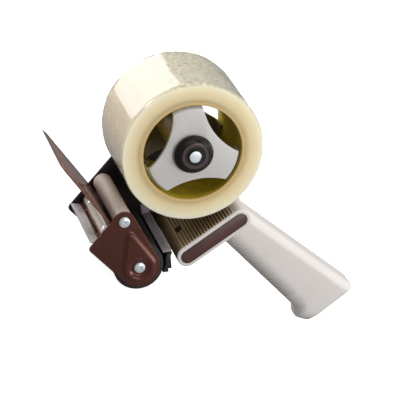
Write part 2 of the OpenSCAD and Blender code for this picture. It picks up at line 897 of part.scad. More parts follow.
// Stack on the axle, from the frame plate to the knob
axle_r = axle_d / 2;
flange_r = axle_d;
flange_t = 2.5;
thrust_t = 2;
axle_tip = roll_near - axle_proud;
hub_face = roll_near - 0.5;
knob_front = axle_tip + 1;
knob_inner = knob_front + knob_wall;
seat_front = knob_inner + run_gap;
seat_t = 1;
spring_front = seat_front + seat_t;
pressure_front = spring_front + spring_len;
friction_front = pressure_front + pressure_t + run_gap;
barrel_near = friction_front + friction_t;
thrust_near = frame_in - flange_t - thrust_t;
barrel_far = thrust_near - run_gap - hub_t;
knob_travel = thread_lead;
knob_rim = hub_face - knob_travel - move_gap;
hub_hole_r = brake_r + move_gap;
bush_r = axle_r + 3.4;
nut_af = 1.6 * tail_d;
nut_t = 0.62 * tail_d;
washer_t = 1.2;
key_flat = axle_r - 0.8;

// Round section of the axle with the flat that keys the pressure washer
module keyed_round(r, flat) {
    intersection() {
        circle(r = r);
        translate([-2 * r, -r - over]) square([2 * r + flat, 2 * r + 2 * over]);
    }
}

// Roll axle: flanged stud with a keyed front and a threaded tail
module hub_axle() {
    tail_end = frame_out + tail_out;
    flange_face = frame_in - flange_t;
    color(bright_steel)
        difference() {
            turned(axle_at, [[0, axle_tip], [axle_r, axle_tip], [axle_r, flange_face], [flange_r, flange_face],
                             [flange_r, frame_in], [tail_d / 2, frame_in], [tail_d / 2, tail_end], [0, tail_end]]);
            translate([axle_at[0] + key_flat, axle_tip - over, axle_at[1] - axle_d])
                cube([axle_r, friction_front - axle_tip + over, 2 * axle_d]);
        }
}

module axle_washer() {
    color(bright_steel)
        tube_y(axle_at, tail_d, tail_d / 2 + fit_gap, frame_out, frame_out + washer_t);
}

// Hexagon nut on the axle's tail
module axle_nut() {
    seat = frame_out + washer_t;
    color(bright_steel)
        difference() {
            translate([axle_at[0], seat + nut_t, axle_at[1]])
                rotate([90, 0, 0])
                    cylinder(d = nut_af / cos(30), h = nut_t, $fn = 6);
            bar_y(axle_at, tail_d / 2 + fit_gap, seat - over, seat + nut_t + over);
        }
}

module thrust_washer() {
    color(fibre)
        tube_y(axle_at, 1.8 * axle_r, axle_r + fit_gap, thrust_near, thrust_near + thrust_t);
}

// Keyed washer that presses on the turning friction washer
module pressure_washer() {
    color(grey_steel)
        translate([axle_at[0], 0, axle_at[1]])
            slab(pressure_front, pressure_front + pressure_t)
                difference() {
                    circle(r = brake_r);
                    keyed_round(axle_r + fit_gap, key_flat + fit_gap);
                }
}

// Friction washer that turns with the hub
module friction_washer() {
    color(fibre)
        tube_y(axle_at, brake_r, axle_r + 4 * run_gap, friction_front, friction_front + friction_t);
}

spring_r = axle_r + spring_wire / 2 + 1.4;

// Centre line of the brake spring at a turn, and its open rise
function coil_point(turn) =
    let (rise = spring_len - spring_wire - 0.2)
    [axle_at[0] + spring_r * cos(360 * turn), spring_front + spring_wire / 2 + 0.1 + rise * turn / spring_turns,
     axle_at[1] + spring_r * sin(360 * turn)];

// Coil of round wire, swept in rings along its centre line
module brake_spring() {
    rings = round(spring_turns * 20);
    sides = 8;
    points = [for (i = [0:rings])
        let (turn = spring_turns * i / rings, c = coil_point(turn), out = [cos(360 * turn), 0, sin(360 * turn)])
        for (j = [0:sides - 1])
            let (a = 360 * j / sides)
            c + spring_wire / 2 * (cos(a) * out + sin(a) * [0, 1, 0])];
    walls = [for (i = [0:rings - 1]) for (j = [0:sides - 1])
        let (a = i * sides + j, b = i * sides + (j + 1) % sides)
        each [[a, a + sides, b], [b, a + sides, b + sides]]];
    start = [for (j = [1:sides - 2]) [0, j, j + 1]];
    end = [for (j = [1:sides - 2]) [rings * sides, rings * sides + j + 1, rings * sides + j]];
    color(bright_steel) polyhedron(points, concat(walls, start, end));
}

// Washer between the spring and the turning knob
module spring_seat() {
    color(grey_steel)
        tube_y(axle_at, spring_r + spring_wire, axle_r + run_gap, seat_front, seat_front + seat_t);
}

insert_r = axle_r + 2.6;

// Ridged brake knob, open towards the hub
module brake_knob() {
    shoulder = knob_rim - 3;
    cavity = spring_r + spring_wire + 2 * move_gap;
    groove = 0.7;
    groove_out = 0.4;
    color(dark_plastic)
        difference() {
            turned(axle_at, [[insert_r + fit_gap, knob_front], [knob_front_r, knob_front], [knob_r, shoulder],
                             [knob_r, knob_rim], [cavity, knob_rim], [cavity, knob_inner],
                             [insert_r + fit_gap, knob_inner]]);
            for (i = [0:knob_ridges - 1])
                translate([axle_at[0], knob_rim + over, axle_at[1]])
                    rotate([0, 360 * i / knob_ridges, 0])
                        translate([knob_r + groove_out, 0, 0])
                            rotate([90, 0, 0])
                                cylinder(r = groove + groove_out, h = knob_rim - knob_front + over);
        }
}

// Blackened steel insert with the knob's thread, sunk behind the knob's front
module knob_insert() {
    insert_sunk = 0.8;
    color(black_plastic)
        tube_y(axle_at, insert_r, axle_r + run_gap, knob_front + insert_sunk, knob_inner);
}

// Side view of a hub plate: three lobes with hollow sides
module hub_outline(r) {
    rim = lobe_face_r * cos(60 - lobe_half);
    far = (lobe_face_r * lobe_face_r - lobe_waist_r * lobe_waist_r) / (2 * (rim - lobe_waist_r));
    difference() {
        circle(r = r);
        for (i = [0:2])
            rotate(hub_turn + 60 + 120 * i)
                translate([far, 0])
                    circle(r = far - lobe_waist_r);
    }
}
hub_turn = -2;
core_r = core_d / 2;
hub_grip_r = core_r - 0.2;

// A hub plate with three tapered gripping walls; the walls run from the plate into the core
module hub_plate(face, into, hole) {
    wall = 2.2;
    taper_to = face + into * 2 * hub_t;
    back = face + into * hub_t;
    deep = face + into * lobe_depth;
    difference() {
        union() {
            translate([axle_at[0], 0, axle_at[1]])
                slab(min(face, back), max(face, back)) hub_outline(lobe_face_r);
            intersection() {
                turned(axle_at, [[lobe_face_r - wall, face], [lobe_face_r, face], [hub_grip_r, taper_to],
                                 [hub_grip_r, deep], [hub_grip_r - wall, deep], [hub_grip_r - wall, taper_to]]);
                translate([axle_at[0], 0, axle_at[1]])
                    slab(min(face, deep) - over, max(face, deep) + over) hub_outline(hub_grip_r);
            }
            bar_y(axle_at, barrel_r, min(face, hole[1]), max(face, hole[1]));
        }
        bar_y(axle_at, hole[0], min(face, hole[1]) - over, max(face, hole[1]) + over);
    }
}

module hub_front() {
    color(hub_plastic) hub_plate(hub_face, 1, [hub_hole_r, barrel_near]);
}

module hub_rear() {
    color(dark_plastic) hub_plate(barrel_far + hub_t, -1, [bush_r + fit_gap, barrel_far]);
}

// Barrel that joins the two hub plates
module hub_barrel() {
    color(dark_plastic)
        tube_y(axle_at, barrel_r, bush_r + fit_gap, barrel_near, barrel_far);
}

// Two plain bearings in the barrel
module hub_bushes() {
    color(brass)
        for (from = [barrel_near, barrel_far - bush_len])
            tube_y(axle_at, bush_r, axle_r + run_gap, from, from + bush_len);
}

module tape_core() {
    color([0.60, 0.50, 0.24])
        tube_y(axle_at, core_r + core_wall, core_r, roll_near, roll_far);
}

// Wound tape on the core
module tape_roll() {
    color([0.88, 0.80, 0.62])
        tube_y(axle_at, roll_d / 2, core_r + core_wall + fit_gap, roll_near, roll_far);
}

sleeve_r = roller_d / 2 - tyre_wall;
roller_bush_r = sleeve_r - sleeve_wall;
guide_bush_r = guide_d / 2 - guide_wall;

module roller_tyre() {
    color(black_plastic)
        tube_y(roller_at, roller_d / 2, sleeve_r, roller_near, roller_far);
}

module roller_sleeve() {
    color(hub_plastic)
        tube_y(roller_at, sleeve_r - fit_gap, roller_bush_r + fit_gap, roller_near, roller_far);
}

// Two plain bearings in a roller's ends
module end_bushes(at, r, shaft_d) {
    for (from = [roller_near, roller_far - bush_len])
        tube_y(at, r, shaft_d / 2 + run_gap, from, from + bush_len);
}

module roller_bushes() {
    color(brass) end_bushes(roller_at, roller_bush_r, roller_shaft_d);
}

module guide_tube() {
    color(tan_metal)
        tube_y(guide_at, guide_d / 2, guide_bush_r + fit_gap, roller_near, roller_far);
}

module guide_bushes() {
    color(brass) end_bushes(guide_at, guide_bush_r, guide_shaft_d);
}

frame_plate();
side_plate();
roller_shaft();
guide_shaft();
side_screws();
frame_screws();
cross_bar();
cutter_blade();
blade_rivets();
wiper_root();
clamp_plate();
clamp_screws();
wiper_flap();
guide_strip();
tape_stop();
stop_rivets();
handle_near_shell();
handle_far_shell();
label_plate();
deck_screws();
grip_screws();
hub_axle();
axle_washer();
axle_nut();
thrust_washer();
pressure_washer();
brake_spring();
spring_seat();
brake_knob();
knob_insert();
hub_front();
hub_rear();
hub_barrel();
hub_bushes();
friction_washer();
tape_core();
tape_roll();
roller_tyre();
roller_sleeve();
roller_bushes();
guide_tube();
guide_bushes();
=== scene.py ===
# %% [markdown]
# # A packing tape dispenser, dressed for the studio
# This lesson takes the plain solids of a hand-held tape dispenser and gives them their finished
# shapes and surfaces. The solids are the fixed frame: they say where every piece sits and how it
# moves. Pieces that the eye rests on are modelled again here with rounded edges and fine detail,
# and pieces that are already right only get a finish.

import json
import math

import bpy
from mathutils import Matrix, Quaternion, Vector
from mathutils.geometry import interpolate_bezier


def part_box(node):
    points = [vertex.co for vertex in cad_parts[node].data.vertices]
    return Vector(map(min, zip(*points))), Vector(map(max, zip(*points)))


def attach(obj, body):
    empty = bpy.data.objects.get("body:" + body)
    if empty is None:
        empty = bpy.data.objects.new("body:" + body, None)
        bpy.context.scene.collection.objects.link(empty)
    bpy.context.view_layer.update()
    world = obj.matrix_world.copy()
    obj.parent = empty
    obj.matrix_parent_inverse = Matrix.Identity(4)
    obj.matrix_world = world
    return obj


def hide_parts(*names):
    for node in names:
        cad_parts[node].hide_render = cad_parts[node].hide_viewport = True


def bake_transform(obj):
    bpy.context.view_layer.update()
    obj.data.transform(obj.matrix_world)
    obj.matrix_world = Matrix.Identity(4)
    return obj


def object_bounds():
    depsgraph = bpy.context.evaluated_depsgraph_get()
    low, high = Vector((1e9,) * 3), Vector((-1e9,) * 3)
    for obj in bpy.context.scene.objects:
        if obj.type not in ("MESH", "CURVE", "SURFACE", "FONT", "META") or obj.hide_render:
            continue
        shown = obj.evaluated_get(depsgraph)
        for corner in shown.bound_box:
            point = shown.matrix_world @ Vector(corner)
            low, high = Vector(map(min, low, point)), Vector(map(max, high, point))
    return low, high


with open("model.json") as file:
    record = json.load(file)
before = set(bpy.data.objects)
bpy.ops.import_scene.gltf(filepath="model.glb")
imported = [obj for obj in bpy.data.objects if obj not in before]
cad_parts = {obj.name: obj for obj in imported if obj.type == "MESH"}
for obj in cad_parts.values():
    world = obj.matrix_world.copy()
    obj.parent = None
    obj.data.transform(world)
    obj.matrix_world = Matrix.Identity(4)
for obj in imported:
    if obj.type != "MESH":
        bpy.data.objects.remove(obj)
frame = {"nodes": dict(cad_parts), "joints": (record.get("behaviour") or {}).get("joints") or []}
solid_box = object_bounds()
print("solids:", len(frame["nodes"]), "from", tuple(solid_box[0]), "to", tuple(solid_box[1]))

# %% [markdown]
# ## Where things are
# Every piece is placed from the frame. The joints give the four axes that pieces turn about, and
# the boxes of a few solids give the places across the object. Sizes are in metres.

# %% Read the places
MM = 0.001


def joint_place(name):
    """The point that a joint turns about."""
    joint = next(j for j in frame["joints"] if j["name"] == name)
    return Vector(joint["pos_m"])


axle = joint_place("roll_spin")
roller = joint_place("pressing_roller_spin")
guide = joint_place("guide_roller_spin")
hinge = joint_place("wiper_bend")
roll_low, roll_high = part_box("tape_roll")
roll_radius = (roll_high.x - roll_low.x) / 2
roll_near, roll_far = roll_low.y, roll_high.y
side_low, side_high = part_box("side_plate")
plate_low, plate_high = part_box("frame_plate")
deck_low, deck_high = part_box("label_plate")
middle = (side_high.y + plate_low.y) / 2
print("axle at", tuple(axle), "roll radius", round(roll_radius, 4), "middle", round(middle, 4))

# %% [markdown]
# ## Tools for the bench
# An operator works on whatever is selected, so each tool first clears the selection. A turned
# piece is drawn as one corner that is extruded along its profile and spun. A wrapped piece is a
# hull drawn tight round a few discs, which is how the plates and the deck got their outlines.

# %% Selection and modifiers
def deselect_all():
    """Leaves edit mode and clears the selection."""
    if bpy.context.mode != "OBJECT":
        bpy.ops.object.mode_set(mode="OBJECT")
    bpy.ops.object.select_all(action="DESELECT")


def pick(piece):
    """Makes one piece the selected and active one."""
    deselect_all()
    piece.select_set(True)
    bpy.context.view_layer.objects.active = piece
    return piece


def edit(piece, what="SELECT"):
    """Opens a piece in edit mode with everything or nothing selected."""
    pick(piece)
    bpy.ops.object.mode_set(mode="EDIT")
    bpy.ops.mesh.select_all(action=what)


def choose(piece, test):
    """Selects the corners of a mesh that pass a test, and opens it in edit mode."""
    edit(piece, "DESELECT")
    bpy.ops.mesh.select_mode(type="VERT")
    deselect_all()
    for corner in piece.data.vertices:
        corner.select = test(corner.co)
    pick(piece)
    bpy.ops.object.mode_set(mode="EDIT")


def apply_modifiers(piece):
    """Applies every modifier, in order."""
    pick(piece)
    for modifier in list(piece.modifiers):
        bpy.ops.object.modifier_apply(modifier=modifier.name)
    return piece


def settle(piece, name):
    """Names a piece and puts its place into its mesh."""
    pick(piece)
    bpy.ops.object.transform_apply(location=True, rotation=True, scale=True)
    piece.name = name
    piece.data.name = name
    return piece


def smooth(piece, angle=38):
    """Shades a piece smooth, apart from the edges that are sharper than the angle."""
    pick(piece)
    bpy.ops.object.shade_smooth_by_angle(angle=math.radians(angle))
    return piece


def round_edges(piece, width, segments=3, angle=30):
    """Rounds each edge that is sharper than the angle, then shades the piece smooth."""
    bevel = piece.modifiers.new("round", "BEVEL")
    bevel.width = width
    bevel.segments = segments
    bevel.limit_method = "ANGLE"
    bevel.angle_limit = math.radians(angle)
    bevel.use_clamp_overlap = True
    bevel.miter_outer = "MITER_ARC"
    apply_modifiers(piece)
    return smooth(piece)


def combine(piece, tool, operation="DIFFERENCE"):
    """Cuts a tool out of a piece, or joins it on, and removes the tool."""
    boolean = piece.modifiers.new("combine", "BOOLEAN")
    boolean.operation = operation
    boolean.solver = "EXACT"
    boolean.object = tool
    apply_modifiers(piece)
    bpy.data.objects.remove(tool)
    return piece


weld = 0.004 * MM


def tidy_mesh(piece, flat=0.6):
    """Merges doubled corners and dissolves the edges inside flat faces."""
    edit(piece)
    bpy.ops.mesh.remove_doubles(threshold=weld)
    bpy.ops.mesh.dissolve_limited(angle_limit=math.radians(flat))
    bpy.ops.mesh.normals_make_consistent(inside=False)
    deselect_all()
    return piece


# %% Drawn, turned and wrapped pieces
def extrude(offset):
    """Extrudes what is selected by an offset."""
    bpy.ops.mesh.extrude_region_move(TRANSFORM_OT_translate={"value": offset})


def drawn(points):
    """A line drawn from point to point, open in edit mode with its last corner selected."""
    deselect_all()
    bpy.ops.mesh.primitive_plane_add(size=MM, location=(0, 0, 0))
    piece = bpy.context.object
    edit(piece)
    bpy.ops.mesh.merge(type="CENTER")
    bpy.ops.transform.translate(value=points[0])
    for before, after in zip(points, points[1:]):
        extrude(after - before)
    return piece


def mirrored(half, near, far):
    """A profile that is the same at both ends, from one end's points of (radius, depth)."""
    return [(r, near + d) for r, d in half] + [(r, far - d) for r, d in reversed(half)]


def turned(name, profile, place, steps=96):
    """A ring or solid turned about the Y axis through a place, from a closed profile of (radius, y)."""
    corners = [Vector((radius, y, 0)) for radius, y in profile]
    piece = drawn(corners + corners[:1])
    bpy.ops.mesh.select_all(action="SELECT")
    bpy.ops.mesh.spin(steps=steps, angle=2 * math.pi, center=(0, 0, 0), axis=(0, 1, 0))
    bpy.ops.mesh.select_all(action="SELECT")
    bpy.ops.mesh.remove_doubles(threshold=weld / 2)
    bpy.ops.mesh.normals_make_consistent(inside=False)
    bpy.ops.mesh.select_all(action="SELECT")
    bpy.ops.transform.translate(value=(place.x, 0, place.z))
    deselect_all()
    return settle(piece, name)


def joined(pieces):
    """Joins pieces into the first of them."""
    deselect_all()
    for piece in pieces:
        piece.select_set(True)
    bpy.context.view_layer.objects.active = pieces[0]
    bpy.ops.object.join()
    return pieces[0]


def wrapped(name, discs, near, far, draft=0.0, sides=72):
    """A hull drawn round discs of (x, z, radius), from near to far; the near face is smaller by draft."""
    cones = []
    for x, z, radius in discs:
        deselect_all()
        bpy.ops.mesh.primitive_cone_add(
            vertices=sides, radius1=radius, radius2=radius - draft, depth=far - near,
            location=(x, (near + far) / 2, z), rotation=(math.pi / 2, 0, 0))
        cones.append(bpy.context.object)
    piece = joined(cones[::-1])
    edit(piece)
    bpy.ops.mesh.convex_hull()
    return tidy_mesh(settle(piece, name))


# %% Boxes and copies
def slat(place, size, direction):
    """A box of a size at a place, with its length along a direction in the XZ plane."""
    deselect_all()
    bpy.ops.mesh.primitive_cube_add(size=1, location=place)
    piece = bpy.context.object
    piece.scale = size
    piece.rotation_euler = (0, -math.atan2(direction.z, direction.x), 0)
    return piece


def block(name, low, high):
    """A box between two corners."""
    low, high = Vector(low), Vector(high)
    return settle(slat((low + high) / 2, high - low, Vector((1, 0, 0))), name)


def linked(name, data):
    """A new object in the scene, with a mesh, a light or a camera as its data."""
    piece = bpy.data.objects.new(name, data)
    bpy.context.scene.collection.objects.link(piece)
    return piece


def softened(node, name, width, segments=2, angle=32):
    """A copy of a solid with its corners merged and its sharp edges rounded."""
    copy = pick(linked(name, frame["nodes"][node].data.copy()))
    bpy.ops.mesh.customdata_custom_splitnormals_clear()
    tidy_mesh(copy)
    return round_edges(copy, width, segments, angle)


print("bench tools ready")

# %% [markdown]
# ## Shared surface effects
# Real finishes are never one flat value. Four small node groups make the variation that many
# materials share: a fine moulded grain, slow smudges from handling, brushed lines, and the rings
# left by turning or winding. Each reads Object coordinates, so the pattern stays on the piece.

# %% Node groups
def srgb(red, green, blue):
    """A colour picked, as the linear values that shaders take."""
    def linear(value):
        share = value / 255
        return share / 12.92 if share <= 0.04045 else ((share + 0.055) / 1.055) ** 2.4
    return (linear(red), linear(green), linear(blue), 1.0)


def new_group(name, outputs, **inputs):
    """An empty shader group with named float outputs, and inputs that are floats or vectors."""
    group = bpy.data.node_groups.new(name, "ShaderNodeTree")
    for label, value in inputs.items():
        kind = "NodeSocketVector" if isinstance(value, tuple) else "NodeSocketFloat"
        socket = group.interface.new_socket(label.replace("_", " "), in_out="INPUT", socket_type=kind)
        socket.default_value = value
    for label in outputs:
        group.interface.new_socket(label, in_out="OUTPUT", socket_type="NodeSocketFloat")
    start = group.nodes.new("NodeGroupInput")
    end = group.nodes.new("NodeGroupOutput")
    return group, start, end


def feed(tree, value, socket):
    """Gives a socket its value: a link from another socket, or a constant."""
    if isinstance(value, bpy.types.NodeSocket):
        tree.links.new(value, socket)
    else:
        socket.default_value = value


def add_math(tree, operation, *values):
    """A maths node whose inputs are sockets or numbers."""
    node = tree.nodes.new("ShaderNodeMath")
    node.operation = operation
    for socket, value in zip(node.inputs, values):
        feed(tree, value, socket)
    return node.outputs[0]


def add_vector_math(tree, operation, first, second):
    """A vector maths node whose inputs are sockets or constant vectors."""
    node = tree.nodes.new("ShaderNodeVectorMath")
    node.operation = operation
    feed(tree, first, node.inputs[0])
    feed(tree, second, node.inputs[1])
    return node


def add_noise(tree, vector, scale, detail=2.0, roughness=0.5):
    """A noise texture on a vector; the scale is a socket or a number."""
    node = tree.nodes.new("ShaderNodeTexNoise")
    node.inputs["Detail"].default_value = detail
    node.inputs["Roughness"].default_value = roughness
    tree.links.new(vector, node.inputs["Vector"])
    feed(tree, scale, node.inputs["Scale"])
    return node.outputs["Fac"]


def between(tree, value, low, high):
    """Runs from 0 to 1 as a value goes from low to high."""
    node = tree.nodes.new("ShaderNodeMapRange")
    node.inputs["From Min"].default_value = low
    node.inputs["From Max"].default_value = high
    tree.links.new(value, node.inputs["Value"])
    return node.outputs["Result"]


def object_vector(tree):
    """Object coordinates."""
    return tree.nodes.new("ShaderNodeTexCoord").outputs["Object"]


grain, start, end = new_group("moulded_grain", ["Height"], Scale=900.0)
speckle = add_noise(grain, object_vector(grain), start.outputs["Scale"], 3.0, 0.6)
grain.links.new(speckle, end.inputs["Height"])

smudges, start, end = new_group("handling_smudges", ["Value", "Mask"], Scale=30.0, Low=0.3, High=0.5)
cloud = add_noise(smudges, object_vector(smudges), start.outputs["Scale"], 4.0, 0.6)
spread = between(smudges, cloud, 0.3, 0.7)
smudges.links.new(start.outputs["Low"], spread.node.inputs["To Min"])
smudges.links.new(start.outputs["High"], spread.node.inputs["To Max"])
smudges.links.new(spread, end.inputs["Value"])
smudges.links.new(cloud, end.inputs["Mask"])

brushed, start, end = new_group("brushed_lines", ["Height"], Stretch=(400.0, 20.0, 400.0))
stretch = add_vector_math(brushed, "MULTIPLY", object_vector(brushed), start.outputs["Stretch"])
brushed.links.new(add_noise(brushed, stretch.outputs["Vector"], 1.0, 2.0), end.inputs["Height"])

rings, start, end = new_group(
    "wound_rings", ["Height", "Radius"], Centre_X=0.0, Centre_Z=0.0, Pitch=0.5 * MM)
parts = rings.nodes.new("ShaderNodeSeparateXYZ")
rings.links.new(object_vector(rings), parts.inputs[0])
across = add_math(rings, "SUBTRACT", parts.outputs["X"], start.outputs["Centre X"])
upward = add_math(rings, "SUBTRACT", parts.outputs["Z"], start.outputs["Centre Z"])
square = add_math(rings, "ADD", add_math(rings, "MULTIPLY", across, across),
                  add_math(rings, "MULTIPLY", upward, upward))
radius = add_math(rings, "SQRT", square)
turns = add_math(rings, "DIVIDE", radius, start.outputs["Pitch"])
line = rings.nodes.new("ShaderNodeTexNoise")
line.noise_dimensions = "1D"
line.inputs["Scale"].default_value = 1.0
line.inputs["Detail"].default_value = 2.0
rings.links.new(turns, line.inputs["W"])
rings.links.new(line.outputs["Fac"], end.inputs["Height"])
rings.links.new(radius, end.inputs["Radius"])
print("node groups:", [group.name for group in bpy.data.node_groups])

# %% [markdown]
# ## Finishes
# One function starts a material: a Principled shader with its constant values on its own sockets,
# a base colour that drifts slowly between two close tones, and a roughness that drifts with it.
# Others add a bump, or mix in another colour at a place. The finishes below are then a few lines
# each.

# %% Material helpers
def add_group(tree, group, **values):
    """Places a shared effect in a material with its own values."""
    node = tree.nodes.new("ShaderNodeGroup")
    node.node_tree = group
    for label, value in values.items():
        node.inputs[label.replace("_", " ")].default_value = value
    return node


def measured_along(tree, origin, direction):
    """The distance of a point from an origin along a direction."""
    offset = add_vector_math(tree, "SUBTRACT", object_vector(tree), origin)
    return add_vector_math(tree, "DOT_PRODUCT", offset.outputs["Vector"], direction).outputs["Value"]


def mixed_colour(tree, share, first, second):
    """A colour that goes from the first to the second as the share goes from 0 to 1."""
    node = tree.nodes.new("ShaderNodeMix")
    node.data_type = "RGBA"
    tree.links.new(share, node.inputs[0])
    feed(tree, first, node.inputs[6])
    feed(tree, second, node.inputs[7])
    return node.outputs[2]


def new_material(name, **constants):
    """A material with constant values on its shader's sockets; returns it, its nodes and the shader."""
    material = bpy.data.materials.new(name)
    material.use_nodes = True
    shader = material.node_tree.nodes["Principled BSDF"]
    for label, value in constants.items():
        shader.inputs[label.replace("_", " ")].default_value = value
    return material, material.node_tree, shader


def new_finish(name, dark, light, rough, metallic=0.0, drift=30.0, **constants):
    """A material whose colour and roughness drift a little over the surface."""
    material, tree, shader = new_material(name, Metallic=metallic, **constants)
    slow = add_group(tree, smudges, Scale=drift, Low=rough[0], High=rough[1])
    tone = mixed_colour(tree, slow.outputs["Mask"], dark, light)
    tree.links.new(tone, shader.inputs["Base Color"])
    tree.links.new(slow.outputs["Value"], shader.inputs["Roughness"])
    return material


def add_bump(material, height, strength, distance):
    """Feeds a height into the shader's normal."""
    tree = material.node_tree
    bump = tree.nodes.new("ShaderNodeBump")
    bump.inputs["Strength"].default_value = strength
    bump.inputs["Distance"].default_value = distance
    tree.links.new(height, bump.inputs["Height"])
    tree.links.new(bump.outputs["Normal"], tree.nodes["Principled BSDF"].inputs["Normal"])
    return material


def grained(material, scale, strength, distance=0.05 * MM):
    """Adds a fine moulded or sprayed grain."""
    height = add_group(material.node_tree, grain, Scale=scale).outputs["Height"]
    return add_bump(material, height, strength, distance)


def lined(material, stretch, strength, distance=0.03 * MM):
    """Adds brushed lines; the stretch is small along the lines and large across them."""
    height = add_group(material.node_tree, brushed, Stretch=stretch).outputs["Height"]
    return add_bump(material, height, strength, distance)


def recoloured(material, share, colour):
    """Mixes another colour into a finish where the share is 1."""
    tree = material.node_tree
    base = tree.nodes["Principled BSDF"].inputs["Base Color"]
    tree.links.new(mixed_colour(tree, share, base.links[0].from_socket, colour), base)
    return material


# %% Paints, plastics and metals
brown_paint = grained(new_finish(
    "brown_paint", srgb(70, 40, 34), srgb(80, 47, 40), (0.2, 0.3), drift=45.0,
    Specular_Tint=(1.0, 0.55, 0.42, 1.0)), 700.0, 0.08)
dark_paint = grained(new_finish(
    "dark_paint", srgb(34, 25, 27), srgb(47, 36, 38), (0.32, 0.48), drift=40.0), 700.0, 0.15)
zinc_steel = new_finish(
    "zinc_steel", srgb(206, 216, 224), srgb(236, 240, 243), (0.26, 0.4), 0.45, drift=220.0)
grained(zinc_steel, 1600.0, 0.12)
plain_steel = lined(new_finish(
    "plain_steel", srgb(152, 142, 132), srgb(172, 161, 150), (0.42, 0.55), 0.35, drift=120.0),
    (900.0, 60.0, 900.0), 0.2)
blade_steel = lined(new_finish(
    "blade_steel", srgb(212, 208, 206), srgb(236, 233, 231), (0.34, 0.44), 0.4, drift=160.0),
    (200.0, 1500.0, 200.0), 0.2)
strip_steel = lined(new_finish(
    "strip_steel", srgb(150, 141, 145), srgb(170, 161, 164), (0.45, 0.6), 0.25, drift=90.0),
    (900.0, 60.0, 900.0), 0.15)
tan_metal = lined(new_finish(
    "tan_metal", srgb(184, 168, 153), srgb(198, 183, 168), (0.42, 0.5), 0.1, drift=60.0),
    (1500.0, 40.0, 1500.0), 0.12)
stud_steel = new_finish(
    "stud_steel", srgb(222, 232, 238), srgb(244, 248, 250), (0.3, 0.42), 0.3, drift=220.0)
tree = stud_steel.node_tree
stud_edge = 4.35 * MM
from_axle = add_group(tree, rings, Centre_X=axle.x, Centre_Z=axle.z).outputs["Radius"]
off_stud = between(tree, from_axle, stud_edge, stud_edge + 0.35 * MM)
recoloured(stud_steel, off_stud, srgb(12, 11, 11))
brass = new_finish("bearing_brass", srgb(150, 116, 60), srgb(184, 148, 84), (0.3, 0.45), 1.0, drift=200.0)
black_steel = new_finish("blackened_steel", srgb(7, 7, 7), srgb(14, 13, 13), (0.55, 0.7), drift=200.0)
rubber = grained(new_finish(
    "roller_rubber", srgb(24, 23, 24), srgb(36, 35, 37), (0.62, 0.78), drift=60.0), 1300.0, 0.6, 0.2 * MM)
black_plastic = grained(new_finish(
    "stop_plastic", srgb(20, 20, 21), srgb(32, 31, 32), (0.4, 0.55), drift=80.0), 1200.0, 0.25)
grip_plastic = grained(new_finish(
    "grip_plastic", srgb(216, 210, 206), srgb(226, 221, 217), (0.36, 0.46), drift=25.0), 1100.0, 0.14)
hub_plastic = grained(new_finish(
    "hub_plastic", srgb(198, 195, 192), srgb(212, 209, 206), (0.34, 0.44), drift=40.0), 1100.0, 0.12)
knob_plastic = grained(new_finish(
    "knob_plastic", srgb(17, 10, 9), srgb(26, 15, 14), (0.32, 0.42), drift=120.0,
    Specular_IOR_Level=0.35), 1400.0, 0.12)
# Painted shade with painted amber light: the rear spider is grey plastic like the front one, and this olive
# stands in for the roll's shade lit through the tape.
painted_shade_olive = grained(new_finish(
    "painted_shade_olive", srgb(118, 106, 74), srgb(150, 138, 102), (0.45, 0.6), drift=40.0), 1200.0, 0.2)
# Painted shade with painted amber light: the hub barrel sits in the roll's shade, and this yellow olive
# stands in for light that comes through the tape.
painted_amber_light_barrel = grained(new_finish(
    "painted_amber_light_barrel", srgb(168, 142, 52), srgb(204, 176, 78), (0.45, 0.6), drift=40.0), 1200.0, 0.2)
label_brown = grained(new_finish(
    "label_brown", srgb(72, 45, 41), srgb(84, 55, 50), (0.34, 0.44), drift=70.0), 1500.0, 0.1)
wiper_sheet = lined(new_finish(
    "wiper_sheet", srgb(98, 64, 52), srgb(122, 84, 70), (0.17, 0.25), drift=30.0,
    Specular_Tint=(1.0, 0.72, 0.6, 1.0)),
    (60.0, 900.0, 60.0), 0.06)
fibre = grained(new_finish("washer_fibre", srgb(120, 84, 58), srgb(150, 110, 80), (0.7, 0.85)), 1500.0, 0.5)
print("finishes:", len(bpy.data.materials))

# %% [markdown]
# ## Tape and core
# The film is clear, but hundreds of turns of it look like pale amber candy: pale on the outside,
# deeper towards the core on the cut face, and glossy. The distance from the axle drives the
# colour, so one material serves the cut faces and the outside. Light that enters the film glows on
# inside it, which subsurface scattering gives. Trapped air dulls one side of the roll with small
# bubbles. The core is kraft board, amber at its cut ends.

# %% Tape and core finishes
def ramp(tree, value, stops):
    """A colour ramp through (position, colour) stops."""
    node = tree.nodes.new("ShaderNodeValToRGB")
    elements = node.color_ramp.elements
    while len(elements) < len(stops):
        elements.new(0.5)
    for element, (position, colour) in zip(elements, stops):
        element.position = position
        element.color = colour
    tree.links.new(value, node.inputs["Fac"])
    return node.outputs["Color"]


core_low, core_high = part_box("tape_core")
core_radius = (core_high.x - core_low.x) / 2

tape_film, tree, shader = new_material(
    "tape_film", Coat_Weight=1.0, Coat_Roughness=0.05, Coat_IOR=1.55, Specular_IOR_Level=0.25,
    Subsurface_Weight=0.6, Subsurface_Radius=(1.0, 0.85, 0.6), Subsurface_Scale=9 * MM)
turn_rings = add_group(tree, rings, Centre_X=axle.x, Centre_Z=axle.z, Pitch=0.18 * MM)
depth = between(tree, turn_rings.outputs["Radius"], core_radius, roll_radius)
cut_face = ramp(tree, depth, [
    (0.0, srgb(222, 196, 142)), (0.25, srgb(240, 220, 175)), (0.65, srgb(249, 234, 197)),
    (0.9, srgb(253, 244, 218))])
on_skin = between(tree, depth, 0.9, 0.94)

